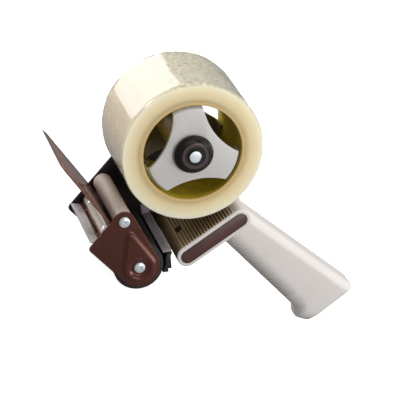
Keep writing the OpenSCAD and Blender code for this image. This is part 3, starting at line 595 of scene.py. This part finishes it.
pocket_turn = math.radians(78)
pocket_side = (math.cos(pocket_turn), 0, math.sin(pocket_turn))
pocket = measured_along(tree, axle, pocket_side)
pocket_share = between(tree, pocket, 0.45 * roll_radius, 0.75 * roll_radius)
bubbles = add_noise(tree, object_vector(tree), 330.0, 4.0, 0.65)
bubble_colour = ramp(tree, bubbles, [
    (0.3, srgb(165, 156, 124)), (0.45, srgb(200, 193, 166)), (0.6, srgb(219, 214, 194))])
streaks = add_group(tree, brushed, Stretch=(60.0, 9.0, 60.0)).outputs["Height"]
smooth_colour = ramp(tree, streaks, [(0.3, srgb(216, 199, 170)), (0.7, srgb(236, 221, 196))])
skin_colour = mixed_colour(tree, pocket_share, smooth_colour, bubble_colour)
tree.links.new(mixed_colour(tree, on_skin, cut_face, skin_colour), shader.inputs["Base Color"])
gloss = add_group(tree, smudges, Scale=40.0, Low=0.2, High=0.34)
tree.links.new(gloss.outputs["Value"], shader.inputs["Roughness"])
off_skin = add_math(tree, "SUBTRACT", 1.0, on_skin)
in_pocket = add_math(tree, "MULTIPLY", bubbles, pocket_share)
bubble_height = add_math(tree, "MULTIPLY", in_pocket, on_skin)
turn_height = add_math(tree, "MULTIPLY", turn_rings.outputs["Height"], off_skin)
add_bump(tape_film, add_math(tree, "ADD", turn_height, bubble_height), 0.15, 0.1 * MM)

# Partly painted light: the core's strong yellow stands in for the amber light that comes through the tape
# onto the kraft board. The amber cut ends are the board's own colour.
kraft = new_finish("kraft_core", srgb(150, 128, 14), srgb(226, 204, 50), (0.5, 0.7), drift=90.0)
lined(kraft, (90.0, 900.0, 90.0), 0.3, 0.05 * MM)
tree = kraft.node_tree
roll_middle = (roll_near + roll_far) / 2
half_width = roll_far - roll_middle
from_middle = add_math(tree, "ABSOLUTE", measured_along(tree, (0, roll_middle, 0), (0, 1, 0)))
end_share = between(tree, from_middle, half_width - 0.6 * MM, half_width - 0.1 * MM)
end_colour = ramp(tree, end_share, [
    (0.0, srgb(120, 66, 34)), (0.55, srgb(196, 140, 96)), (1.0, srgb(208, 180, 122))])
recoloured(kraft, add_math(tree, "GREATER_THAN", end_share, 0.02), end_colour)
print("tape colour runs from", round(core_radius, 4), "to", round(roll_radius, 4))

# %% [markdown]
# The roll is turned from a profile with slightly rounded corners. A wound roll is never a true
# cylinder: trapped air lifts the film here and there, so a cloud displacement of a fraction of a
# millimetre moves only the outer skin, which a vertex group picks out. The lumps of a real roll run
# across it, so the roll is turned too narrow, displaced, and then stretched to its width.

# %% Turn the roll and the core
def painted(piece, material):
    """Gives a piece one material."""
    piece.data.materials.clear()
    piece.data.materials.append(material)


def mounted(piece, body, material, slot, *nodes):
    """Gives a finished piece its material, its body and the solids that it stands for."""
    painted(piece, material)
    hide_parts(*nodes)
    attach(piece, body)
    print(piece.name, "faces", len(piece.data.polygons), "rides on", body)
    return piece


edge = 0.7 * MM
skin_rows = 14
squeeze = 0.2
narrow_near = roll_middle - half_width * squeeze
narrow_far = roll_middle + half_width * squeeze
skin_near = narrow_near + edge * squeeze
skin_step = 2 * (half_width - edge) * squeeze / skin_rows
roll_profile = [(core_radius, narrow_near), (roll_radius - edge, narrow_near)]
roll_profile += [(roll_radius, skin_near + skin_step * row) for row in range(skin_rows + 1)]
roll_profile += [(roll_radius - edge, narrow_far), (core_radius, narrow_far)]
roll = turned("tape_wind", roll_profile, axle, steps=180)
outer = roll.vertex_groups.new(name="outer_skin")
choose(roll, lambda co: math.hypot(co.x - axle.x, co.z - axle.z) > roll_radius - 0.1 * MM)
bpy.ops.object.vertex_group_assign()
bpy.ops.object.mode_set(mode="OBJECT")
clouds = bpy.data.textures.new("trapped_air", "CLOUDS")
clouds.noise_scale = 18 * MM
clouds.noise_depth = 1
lift = roll.modifiers.new("trapped_air", "DISPLACE")
lift.texture = clouds
lift.texture_coords = "LOCAL"
lift.vertex_group = outer.name
lift.strength = 0.8 * MM
lift.mid_level = 0.75
apply_modifiers(roll)
edit(roll)
bpy.ops.transform.resize(value=(1, 1 / squeeze, 1), center_override=(axle.x, roll_middle, axle.z))
smooth(roll)
mounted(roll, "tape_hub", tape_film, "tape_film", "tape_roll")

core_wall = 3.2 * MM
core_bore = core_radius - core_wall
lip = 0.5 * MM
core_skin = core_radius - 0.02 * MM
core_end = [(core_bore, lip), (core_bore + lip, 0), (core_skin, 0)]
core = turned("paper_core", mirrored(core_end, roll_near, roll_far), axle, steps=120)
smooth(core)
mounted(core, "tape_hub", kraft, "kraft_core", "tape_core")

# %% [markdown]
# ## Hub and brake knob
# The three-lobed plates are moulded, so every edge has a radius: a softened copy of the solid is
# enough. The knob is turned, and then every other row of its cone is drawn in towards the axle,
# which leaves the ridges that fingers hold.

# %% Hub plates and knob
# The rear spider's olive is painted shade with amber light from the tape, not its own colour.
for node, name, material, slot in (("hub_front", "front_spider", hub_plastic, "hub_plastic"),
                                   ("hub_rear", "rear_spider", painted_shade_olive, "dark_plastic")):
    spider = softened(node, name, 0.6 * MM, 3)
    mounted(spider, "tape_hub", material, slot, node)

knob_low, knob_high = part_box("brake_knob")
knob_base = (knob_high.x - knob_low.x) / 2
knob_front = 10.2 * MM
knob_hole = 7.65 * MM
knob_cavity = 8.65 * MM
knob_wall = 3.0 * MM
cone_rows = 4
cone_start = 0.6 * MM
rim_depth = 1.2 * MM
front_soft, rim_soft = 0.5 * MM, 0.4 * MM
ridge_count = 40
groove_share = 0.945
front_y, rim_y = knob_low.y, knob_high.y
cone_near, cone_far = front_y + cone_start, rim_y - rim_depth
knob_profile = [(knob_hole, front_y + front_soft), (knob_hole + front_soft, front_y),
                (knob_front - front_soft, front_y)]
knob_profile += [(knob_front + (knob_base - knob_front) * row / cone_rows,
                  cone_near + (cone_far - cone_near) * row / cone_rows) for row in range(cone_rows + 1)]
knob_profile += [(knob_base, rim_y - rim_soft), (knob_base - rim_soft, rim_y), (knob_cavity, rim_y),
                 (knob_cavity, front_y + knob_wall), (knob_hole, front_y + knob_wall)]
knob = turned("ridged_knob", knob_profile, axle, steps=2 * ridge_count)


def in_groove(co):
    """True for every other row of corners down the cone, between its front and its rim."""
    turn_share = math.atan2(co.z - axle.z, co.x - axle.x) / math.pi * ridge_count
    on_cone = cone_near + 0.3 * MM < co.y < cone_far - 0.2 * MM
    outside = math.hypot(co.x - axle.x, co.z - axle.z) > knob_front
    return on_cone and outside and round(turn_share) % 2 == 0


choose(knob, in_groove)
bpy.ops.transform.resize(value=(groove_share, 1, groove_share), center_override=(axle.x, 0, axle.z))
smooth(knob, 25)
# Painted light: the flat front of the knob is painted lighter than its ridged cone, as the lit face of the
# one dark plastic.
tree = knob_plastic.node_tree
painted_light_front = between(tree, measured_along(tree, (0, front_y, 0), (0, 1, 0)), 0.8 * MM, 0.5 * MM)
recoloured(knob_plastic, painted_light_front, srgb(76, 63, 61))
mounted(knob, "brake_knob", knob_plastic, "knob_plastic", "brake_knob")
print("knob runs from", round(front_y, 4), "to", round(rim_y, 4), "radius", round(knob_base, 4))

# %% [markdown]
# The brake spring is a wire coil between the pressure washer and the seat. When the knob is turned,
# the seat slides and the spring shortens: its rear end stays with the frame, its front end goes
# with the seat, and the turns between share the travel. Here the spring is a merged copy of the solid.

# %% Brake spring
spring = linked("coil_spring", frame["nodes"]["brake_spring"].data.copy())
edit(spring)
bpy.ops.mesh.remove_doubles(threshold=weld)
pick(spring)
bpy.ops.mesh.customdata_custom_splitnormals_clear()
smooth(spring, 50)
painted(spring, zinc_steel)
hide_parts("brake_spring")
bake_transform(spring)

# %% [markdown]
# ## Side plate
# The plate is a steel pressing. Its outline wraps three bosses: the nose, the pressing roller and
# the guide roller. A raised teardrop stiffens it, and a dimple sinks the lower screw. All of it
# came out of one die, so every crease is a soft radius.

# %% Press the side plate
screw_crown = 2.2 * MM
sheet_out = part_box("side_screws")[0].y + screw_crown
raised = side_low.y
nose_height = 24.2 * MM
nose_round, roller_round, guide_round = 3.5 * MM, 16.2 * MM, 8.3 * MM
plate_discs = [(side_low.x + nose_round, nose_height, nose_round),
               (roller.x, roller.z, roller_round), (guide.x, guide.z, guide_round)]
plate = wrapped("pressed_plate", plate_discs, sheet_out, side_high.y)
drop_round, tip_round = 14.2 * MM, 4.3 * MM
drop_length = 27.5 * MM
tip_shift = 1.6 * MM
flank = 1.7 * (sheet_out - raised)
lean = Vector((guide.x - roller.x + tip_shift, 0, guide.z - roller.z)).normalized()
tip = roller + lean * drop_length
teardrop = wrapped("teardrop", [(roller.x, roller.z, drop_round), (tip.x, tip.z, tip_round)],
                   raised, sheet_out + 0.3 * MM, draft=flank)
print("emboss stands proud by", round(sheet_out - raised, 5))
combine(plate, teardrop, "UNION")
dimple_floor, dimple_edge = 6.2 * MM, 8.7 * MM
dimple = turned("dimple", [
    (0.0, sheet_out), (dimple_floor, sheet_out), (dimple_edge, raised),
    (dimple_edge + 0.5 * MM, raised - MM), (0.0, raised - MM)], roller)
combine(plate, dimple)
tidy_mesh(plate, 0.4)
round_edges(plate, 0.6 * MM, 4, 20)
mounted(plate, "frame", brown_paint, "brown_paint", "side_plate")

# %% [markdown]
# ## Screws
# Every visible screw is a zinc-plated pan head, turned with a domed crown and cut with a cross
# recess. Each size is made once on the bench, and copies of it are moved and turned into place.

# %% Make the screw and set the copies
def pan_screw(name, head, crown, depth):
    """A pan-head screw along Y with its head facing the open side and its seat at the origin."""
    rim_share = 0.35
    arm_half, arm_wide = 0.6 * head, 0.13 * head
    turns = [math.radians(step) for step in range(0, 90, 10)]
    dome = [(head * math.cos(a), -crown * (rim_share + (1 - rim_share) * math.sin(a))) for a in turns]
    profile = [(0.0, 0.0), (head * 0.97, 0.0), (head, -0.12 * crown)] + dome + [(0.0, -crown)]
    screw = turned(name, profile, Vector((0, 0, 0)), steps=48)
    for turn in (20, 110):
        arm = block("arm", (-arm_half, -1.2 * crown, -arm_wide), (arm_half, -crown + depth, arm_wide))
        arm.rotation_euler = (0, math.radians(turn), 0)
        settle(arm, "arm")
        combine(screw, arm)
    return round_edges(screw, 0.12 * MM, 2, 40)


def set_screws(name, master, places, facing, node, body="frame"):
    """Copies a screw to each place, turned to face a direction, and joins the copies."""
    turn = Vector((0, -1, 0)).rotation_difference(facing).to_matrix().to_4x4()
    copies = []
    for place in places:
        copy = linked(name, master.data.copy())
        copy.data.transform(Matrix.Translation(place) @ turn)
        copies.append(copy)
    return mounted(settle(joined(copies), name), body, zinc_steel, "zinc_steel", node)


shaft_screw = pan_screw("shaft_screw", 4.3 * MM, screw_crown, 1.3 * MM)
for name, face, facing, node in (("plate_screws", sheet_out, (0, -1, 0), "side_screws"),
                                 ("back_screws", plate_high.y, (0, 1, 0), "frame_screws")):
    places = [Vector((shaft.x, face, shaft.z)) for shaft in (roller, guide)]
    set_screws(name, shaft_screw, places, Vector(facing), node)
bpy.data.objects.remove(shaft_screw)

# %% [markdown]
# ## Rollers
# The pressing roller is a rubber tyre with a soft chamfer at each end, and the guide roller is a
# thin satin tube. Both are turned.

# %% Turn the rollers
tyre_low, tyre_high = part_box("roller_tyre")
tyre_radius = (tyre_high.z - tyre_low.z) / 2
tyre_bore = 13.0 * MM
soft = 0.9 * MM
tyre_end = [(tyre_bore, 0), (tyre_radius - soft, 0), (tyre_radius - 0.3 * soft, 0.3 * soft),
            (tyre_radius, soft)]
tyre = turned("rubber_tyre", mirrored(tyre_end, tyre_low.y, tyre_high.y), roller, steps=128)
smooth(tyre, 50)
mounted(tyre, "pressing_roller", rubber, "black_rubber", "roller_tyre")

tube_low, tube_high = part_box("guide_tube")
tube_radius = (tube_high.z - tube_low.z) / 2
tube_wall = 1.55 * MM
tube_bore = tube_radius - tube_wall
roll_over = 0.5 * MM
tube_end = [(tube_bore, 0), (tube_radius - roll_over, 0), (tube_radius, roll_over)]
tube = turned("satin_tube", mirrored(tube_end, tube_low.y, tube_high.y), guide)
smooth(tube, 50)
mounted(tube, "guide_roller", tan_metal, "tan_tube", "guide_tube")

# %% [markdown]
# ## Wiper
# On the real dispenser the wiper is one springy sheet: its root is clamped under a steel strip and
# its flap stands out. Here the sheet's middle line is extruded from the root, round the bend and
# along the flap, drawn out across the head, and given its thickness.

# %% Form the wiper sheet
flap_low, flap_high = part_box("wiper_flap")
sheet_thick = 1.2 * MM
flap_slope = math.radians(32.7)
edge_slope = math.radians(71.2)
along_edge = Vector((math.cos(edge_slope), 0, math.sin(edge_slope)))
along_flap = Vector((-math.cos(flap_slope), 0, math.sin(flap_slope)))
flap_length = 68 * MM
root_length = 12.3 * MM
bend_reach = 1.6 * MM
root_line = [hinge - along_edge * back for back in (root_length, root_length / 2, bend_reach)]
bend_line = [hinge - along_edge * 0.45 * bend_reach + along_flap * 0.18 * bend_reach,
             hinge - along_edge * 0.1 * bend_reach + along_flap * 0.55 * bend_reach,
             hinge + along_flap * bend_reach]
flap_line = [hinge + along_flap * flap_length * share for share in (0.1, 0.25, 0.5, 0.75, 0.925, 1.0)]
near_edge = Vector((0, flap_low.y, 0))
wiper = drawn([point + near_edge for point in root_line + bend_line + flap_line])
bpy.ops.mesh.select_all(action="SELECT")
extrude((0, flap_high.y - flap_low.y, 0))
deselect_all()
wall = wiper.modifiers.new("wall", "SOLIDIFY")
wall.thickness = sheet_thick
wall.offset = 0
apply_modifiers(wiper)
off_flap = Vector((along_flap.z, 0, -along_flap.x))
tip_length = 2 * MM


def under_tip(co):
    """True for the corners on one face of the sheet, near its tip."""
    return (co - hinge).dot(along_flap) > flap_length - tip_length and (co - hinge).dot(off_flap) > 0


choose(wiper, under_tip)
bpy.ops.transform.translate(value=off_flap * -0.75 * sheet_thick)
notch_at = hinge + along_flap * (flap_length - 1.5 * MM)
notch_wide = 2.2 * MM
notch = block("notch", (notch_at.x - 3 * MM, flap_low.y - MM, notch_at.z - 4 * MM),
              (notch_at.x + 2 * MM, flap_low.y + notch_wide, notch_at.z + 4 * MM))
combine(wiper, notch)
settle(wiper, "wiper_spring_sheet")
round_edges(wiper, 0.15 * MM, 2, 40)
painted(wiper, wiper_sheet)
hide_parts("wiper_root", "wiper_flap")
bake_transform(wiper)
print("wiper sheet faces", len(wiper.data.polygons))

# %% [markdown]
# ## Blade, bars and the throat
# Most of these are cut and folded from sheet, and their solids already have the right shape. Each
# gets a softened copy with a small broken edge, so that it catches the light along its folds.

# %% Soften the sheet pieces
for node, name, width, material, slot in (
        ("frame_plate", "back_frame", 0.5, dark_paint, "dark_paint"),
        ("cross_bar", "folded_bar", 0.3, brown_paint, "brown_paint"),
        ("cutter_blade", "toothed_blade", 0.12, blade_steel, "blade_steel"),
        ("clamp_plate", "clamp_strip", 0.25, plain_steel, "grey_steel"),
        ("guide_strip", "throat_strip", 0.25, strip_steel, "grey_steel"),
        ("tape_stop", "stop_comb", 0.3, black_plastic, "black_plastic"),
        ("axle_washer", "plain_washer", 0.15, zinc_steel, "zinc_steel"),
        ("axle_nut", "hex_nut", 0.35, zinc_steel, "zinc_steel"),
        ("hub_axle", "axle_stud", 0.4, stud_steel, "zinc_steel")):
    piece = softened(node, name, width * MM)
    mounted(piece, "frame", material, slot, node)

clamp_head = 2.8 * MM
clamp_screw = pan_screw("clamp_screw", clamp_head, 1.7 * MM, 0.9 * MM)
edge_out = Vector((-math.sin(edge_slope), 0, math.cos(edge_slope)))
clamp_low, clamp_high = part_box("clamp_screws")
clamp_span = (clamp_high.y - clamp_low.y) / 2 - clamp_head
clamp_face = (clamp_low + clamp_high) / 2 + edge_out * 0.25 * MM
places = [Vector((clamp_face.x, middle + side * clamp_span, clamp_face.z)) for side in (-1, 1)]
set_screws("clamp_heads", clamp_screw, places, edge_out, "clamp_screws")
bpy.data.objects.remove(clamp_screw)

# %% [markdown]
# ## Handle
# The deck is a bar with rounded ends that runs across under the roll, and the grip grows out of its
# rear end. The grip could be carved from a block, but its front swells smoothly, so one rounded
# cross-section is drawn and extruded from station to station, and its front is moved at each one.
# The stations follow the straight front, a curved lip, and the toe that lies on the floor, and the
# grip's own sizes are in millimetres.
# Its finger ribs come from a trick: a copy of the grip is moved back a little, and thin slices of
# the difference are cut away, so each groove is deepest in front and fades on the sides.

# %% Outline of the grip
deck_round = 8.3 * MM
deck_inset = deck_round - 2.75 * MM
deck_front = Vector((deck_low.x + deck_inset, 0, deck_low.z + deck_inset))
deck_rear = Vector((deck_high.x - deck_inset, 0, deck_high.z - deck_inset))
grip_slope = math.radians(18.6)
grip_along = Vector((math.cos(grip_slope), 0, -math.sin(grip_slope)))
grip_out = Vector((math.sin(grip_slope), 0, math.cos(grip_slope)))
grip_thick = 30
grip_back = 4.1
back_round, front_round = 7.5, 12.5
front_top = -24.5
front_fall = 12.8 / 97.4
floor_top = -81.63
butt_length, toe_length = 129.4, 117.9
butt_round = 2.4
lip_start, lip_end = 101.5, 112.5
front_pull, floor_pull = 6.0, 5.5
round_steps = 8


def on_grip(along, out, y=0.0):
    """A point in the grip's own directions, in millimetres from the deck's rear end."""
    return deck_rear + (grip_along * along + grip_out * out) * MM + Vector((0, y, 0))


def front_line(along):
    """A point (along, out) on the straight front edge, in millimetres."""
    return Vector((along, front_top - front_fall * along, 0))


def floor_line(along):
    """A point (along, out) on the edge of the toe that lies on the floor, in millimetres."""
    return Vector((along, floor_top + math.tan(grip_slope) * along, 0))


def grip_section(front):
    """Corners of a cross-section as (out, across) in millimetres: rounder in front than at the back."""
    corners = []
    for out, side, r, first in ((grip_back, 1, back_round, 0), (front, 1, front_round, 90),
                                (front, -1, front_round, 180), (grip_back, -1, back_round, 270)):
        centre = (out + (r if out == front else -r), side * (grip_thick / 2 - r))
        for step in range(round_steps + 1):
            turn = math.radians(first + step * 90 / round_steps)
            corners.append((centre[0] + r * math.cos(turn), centre[1] + r * math.sin(turn)))
    return corners


def past_station(co, along):
    """True for a corner at or beyond a place along the grip."""
    return (co - deck_rear).dot(grip_along) > (along - 0.01) * MM


# %% Draw the grip
toe_lip = interpolate_bezier(front_line(lip_start), front_line(lip_start + front_pull),
                             floor_line(lip_end - floor_pull), floor_line(lip_end), 14)
stations = [front_line(along) for along in (-3, 0, 50)] + list(toe_lip)
stations += [floor_line(along) for along in (118, 131)]
first = stations[0]
grip = drawn([on_grip(first.x, out, middle + across * MM) for out, across in grip_section(first.y)])
bpy.ops.mesh.select_all(action="SELECT")
bpy.ops.mesh.edge_face_add()
for here, ahead in zip(stations, stations[1:]):
    extrude(grip_along * (ahead.x - here.x) * MM)
    centre_out = (grip_back - back_round + here.y + front_round) / 2
    choose(grip, lambda co: past_station(co, ahead.x)
           and (co - deck_rear).dot(grip_out) < centre_out * MM)
    bpy.ops.transform.translate(value=grip_out * (ahead.y - here.y) * MM)
    choose(grip, lambda co: past_station(co, ahead.x))
    bpy.ops.mesh.select_mode(type="FACE")
butt_end = on_grip(butt_length, grip_back)
butt_toe = on_grip(toe_length, floor_line(toe_length).y)
butt_line = (butt_end - butt_toe).normalized()
butt_face = Vector((butt_line.z, 0, -butt_line.x))
edit(grip)
bpy.ops.mesh.normals_make_consistent(inside=False)
bpy.ops.mesh.bisect(plane_co=butt_end, plane_no=butt_face, use_fill=True, clear_outer=True)
choose(grip, lambda co: abs((co - butt_end).dot(butt_face)) < 0.01 * MM)
bpy.ops.mesh.select_mode(type="EDGE")
bpy.ops.mesh.bevel(offset=butt_round * MM, segments=5, affect="EDGES")
settle(grip, "grip")
print("grip faces", len(grip.data.polygons))

# %% Finger ribs
rib_depth = 0.9 * MM
groove_count = 31
groove_pitch = 2.6 * MM
groove_size = (1.3 * MM, 1.3 * grip_thick * MM, 30 * MM)
groove_start = 11
first_groove = on_grip(groove_start, front_line(groove_start).y, middle)
front_along = (grip_along - grip_out * front_fall).normalized()
grooves = [slat(first_groove + front_along * i * groove_pitch, groove_size, front_along)
           for i in range(groove_count)]
comb = settle(joined(grooves), "rib_comb")
moved = linked("moved_grip", grip.data.copy())
moved.data.transform(Matrix.Translation(grip_out * rib_depth))
combine(comb, moved)
combine(grip, comb)
print("grip with ribs faces", len(grip.data.polygons))

# %% Deck, ribs and label place
def deck_ends(radius):
    """A disc at each end of the deck."""
    return [(end.x, end.z, radius) for end in (deck_front, deck_rear)]


deck_near, deck_far = deck_low.y, plate_low.y
deck = wrapped("deck", deck_ends(deck_round), deck_near, deck_far)
round_edges(deck, 1.0 * MM, 4, 40)
deck_length = (deck_rear - deck_front).length
deck_along = (deck_rear - deck_front).normalized()
deck_up = Vector((-deck_along.z, 0, deck_along.x))
rib_count = 19
rib_size = (0.8 * MM, deck_far - deck_near - 3 * MM, 1.6 * MM)
deck_top = deck_front + deck_up * deck_round + Vector((0, (deck_near + deck_far) / 2, 0))
ribs = [slat(deck_top + deck_along * (i + 0.5) * deck_length / rib_count, rib_size, deck_along)
        for i in range(rib_count)]
rib_row = settle(joined(ribs), "rib_row")
round_edges(rib_row, 0.25 * MM, 2, 40)
combine(deck, rib_row, "UNION")
label_depth = 0.8 * MM
recess = wrapped("recess", deck_ends(deck_inset), deck_near - MM, deck_near + label_depth)
combine(deck, recess)
slot_size = (5 * MM, 9 * MM, 3 * deck_round)
slot_from_end, slot_from_middle = 5 * MM, 8.5 * MM
slot_at = deck_front + deck_along * slot_from_end + deck_up * deck_round / 2
slot_at.y = middle - slot_from_middle
slot_cut = settle(slat(slot_at, slot_size, deck_along), "slot_cut")
combine(deck, slot_cut)
combine(grip, deck, "UNION")
print("handle faces", len(grip.data.polygons))

# %% [markdown]
# Under the roll the ribbed face of the deck is painted olive brown: painted shade from the roll,
# tinted by the amber light that comes through the tape, with paler painted light on the tops of its
# ribs. Three directions of the deck give each point its place along it, above it and across it.
# Those places pick the painted shade, so nothing has to be painted by hand.

# %% Painted shade on the ribbed deck
tree = grip_plastic.node_tree
above_deck = measured_along(tree, deck_front, deck_up)
along_deck = measured_along(tree, deck_front, deck_along)
across_deck = measured_along(tree, (0, deck_near, 0), (0, 1, 0))
# Painted shade of the roll, amber from the tape, with painted light on the tops of the ribs.
painted_shade_colour = ramp(tree, between(tree, above_deck, 0, deck_round + 0.8 * MM), [
    (0.0, srgb(100, 80, 50)), (0.86, srgb(90, 70, 38)), (0.93, srgb(122, 102, 66)),
    (1.0, srgb(186, 166, 126))])
high_up = between(tree, above_deck, 0.1 * deck_round, 0.55 * deck_round)
not_end = between(tree, along_deck, 1.12 * deck_length, 0.86 * deck_length)
not_face = between(tree, across_deck, 0.9 * MM, 2.2 * MM)
painted_shade_share = add_math(tree, "MULTIPLY", add_math(tree, "MULTIPLY", high_up, not_end), not_face)
recoloured(grip_plastic, painted_shade_share, painted_shade_colour)
print("stain runs along", round(deck_length, 4))

# %% Part the handle into its two shells
for name, node, near in (("near_shell", "handle_near_shell", True),
                         ("far_shell", "handle_far_shell", False)):
    shell = linked(name, grip.data.copy())
    edit(shell)
    bpy.ops.mesh.bisect(plane_co=(0, middle, 0), plane_no=(0, 1, 0), use_fill=True,
                        clear_inner=not near, clear_outer=near)
    settle(shell, name)
    smooth(shell, 32)
    mounted(shell, "frame", grip_plastic, "grey_plastic", node)
bpy.data.objects.remove(grip)

label_gap = 0.15 * MM
label = wrapped("bare_label", deck_ends(deck_inset - label_gap),
                deck_near + 0.1 * MM, deck_near + label_depth)
round_edges(label, 0.2 * MM, 2, 40)
mounted(label, "frame", label_brown, "label_brown", "label_plate")

# %% [markdown]
# ## Pieces that keep their solids
# Shafts, bushes, washers, rivets and the handle's screws hardly show, and their solids are exact,
# so they only get the finish that belongs to them.

# %% Finish the remaining solids
# The hub barrel's olive is painted shade with amber light from the tape, not the barrel's own colour.
plain = {
    "roller_shaft": zinc_steel, "guide_shaft": zinc_steel, "blade_rivets": plain_steel,
    "stop_rivets": plain_steel, "deck_screws": zinc_steel, "grip_screws": zinc_steel,
    "thrust_washer": fibre, "pressure_washer": plain_steel,
    "spring_seat": plain_steel, "knob_insert": black_steel, "hub_barrel": painted_amber_light_barrel,
    "hub_bushes": brass, "friction_washer": fibre, "roller_sleeve": hub_plastic,
    "roller_bushes": brass, "guide_bushes": brass}
for node, material in plain.items():
    painted(frame["nodes"][node], material)
bare = [node for node, solid in frame["nodes"].items() if not solid.hide_render and node not in plain]
print("solids that keep their shape:", len(plain), "without a finish:", bare)

# %% [markdown]
# ## Floor, light and camera
# The photograph is a studio shot on white. A broad pale floor carries the object, and it glows a
# little so that shadows stay faint. One box light hangs above, one stands on each side, and one in
# front lights the faces. A broad panel behind on the left is what the film mirrors as its bright
# band. The floor is left out of reflections, because it would veil the glossy film. The sky around
# only fills the shadows faintly, although the camera sees it as white paper.

# %% Floor
deselect_all()
bpy.ops.mesh.primitive_plane_add(size=9, location=(0, 0, solid_box[0].z))
floor = bpy.context.object
floor.name = "studio_floor"
paper = new_material("studio_paper", Base_Color=(0.93, 0.93, 0.93, 1), Roughness=0.9,
                     Emission_Color=(1, 1, 1, 1), Emission_Strength=0.7)[0]
painted(floor, paper)
floor.visible_diffuse = False
floor.visible_glossy = False
print("floor at", round(floor.location.z, 5))

# %% Lights
look_at = (-0.02, 0, 0.09)


def box_light(name, place, size, power, aim=look_at, turn=0):
    """A rectangular soft light that points at a place and stays out of the picture."""
    light = bpy.data.lights.new(name, "AREA")
    light.shape = "RECTANGLE"
    light.size, light.size_y = size
    light.energy = power
    lamp = linked(name, light)
    lamp.location = place
    beam = (Vector(aim) - Vector(place)).to_track_quat("-Z", "Y")
    lamp.rotation_euler = (beam @ Quaternion((0, 0, 1), math.radians(turn))).to_euler()
    lamp.visible_camera = False
    return lamp


box_light("right_box", place=(0.98, -0.53, 0.37), size=(0.3, 0.3), power=2.6)
box_light("left_box", place=(-1.15, 0.4, 0.42), size=(0.7, 0.7), power=10)
box_light("top_box", place=(0.25, -0.2, 1.5), size=(1.2, 1.2), power=15)
box_light("front_key", place=(0.35, -1.15, 0.45), size=(0.6, 0.6), power=7.2)
box_light("back_panel", place=(-0.55, 1.4, 0.48), size=(1.0, 0.8), power=5,
          aim=(axle.x, 0, axle.z), turn=-30)
world = bpy.data.worlds.new("studio")
bpy.context.scene.world = world
world.use_nodes = True
backdrop = world.node_tree.nodes["Background"]
backdrop.inputs["Color"].default_value = (1, 1, 1, 1)
seen = world.node_tree.nodes.new("ShaderNodeLightPath").outputs["Is Camera Ray"]
fill_strength = 0.25
strength = add_math(world.node_tree, "MAXIMUM", seen, fill_strength)
world.node_tree.links.new(strength, backdrop.inputs["Strength"])
bpy.context.scene.view_settings.view_transform = "Standard"
print("lights:", [light.name for light in bpy.data.lights])

# %% Camera
view_turn = math.radians(22.53)
view_height = math.radians(17.45)
view_roll = math.radians(22.57)
view_aim = Vector((-16.72, -25.12, 79.24)) * MM
view_distance = 1.9341
forward = Vector((math.sin(view_turn) * math.cos(view_height),
                  math.cos(view_turn) * math.cos(view_height),
                  -math.sin(view_height)))
level = forward.cross(Vector((0, 0, 1))).normalized()
upright = level.cross(forward)
right = level * math.cos(view_roll) + upright * math.sin(view_roll)
above = right.cross(forward)
camera_data = bpy.data.cameras.new("photo_camera")
camera_data.sensor_width = 36
camera_data.lens = 228
camera = linked("photo_camera", camera_data)
pose = Matrix((right, above, -forward)).transposed().to_4x4()
pose.translation = view_aim - forward * view_distance
camera.matrix_world = pose
bpy.context.scene.camera = camera
print("camera at", tuple(round(v, 3) for v in pose.translation))
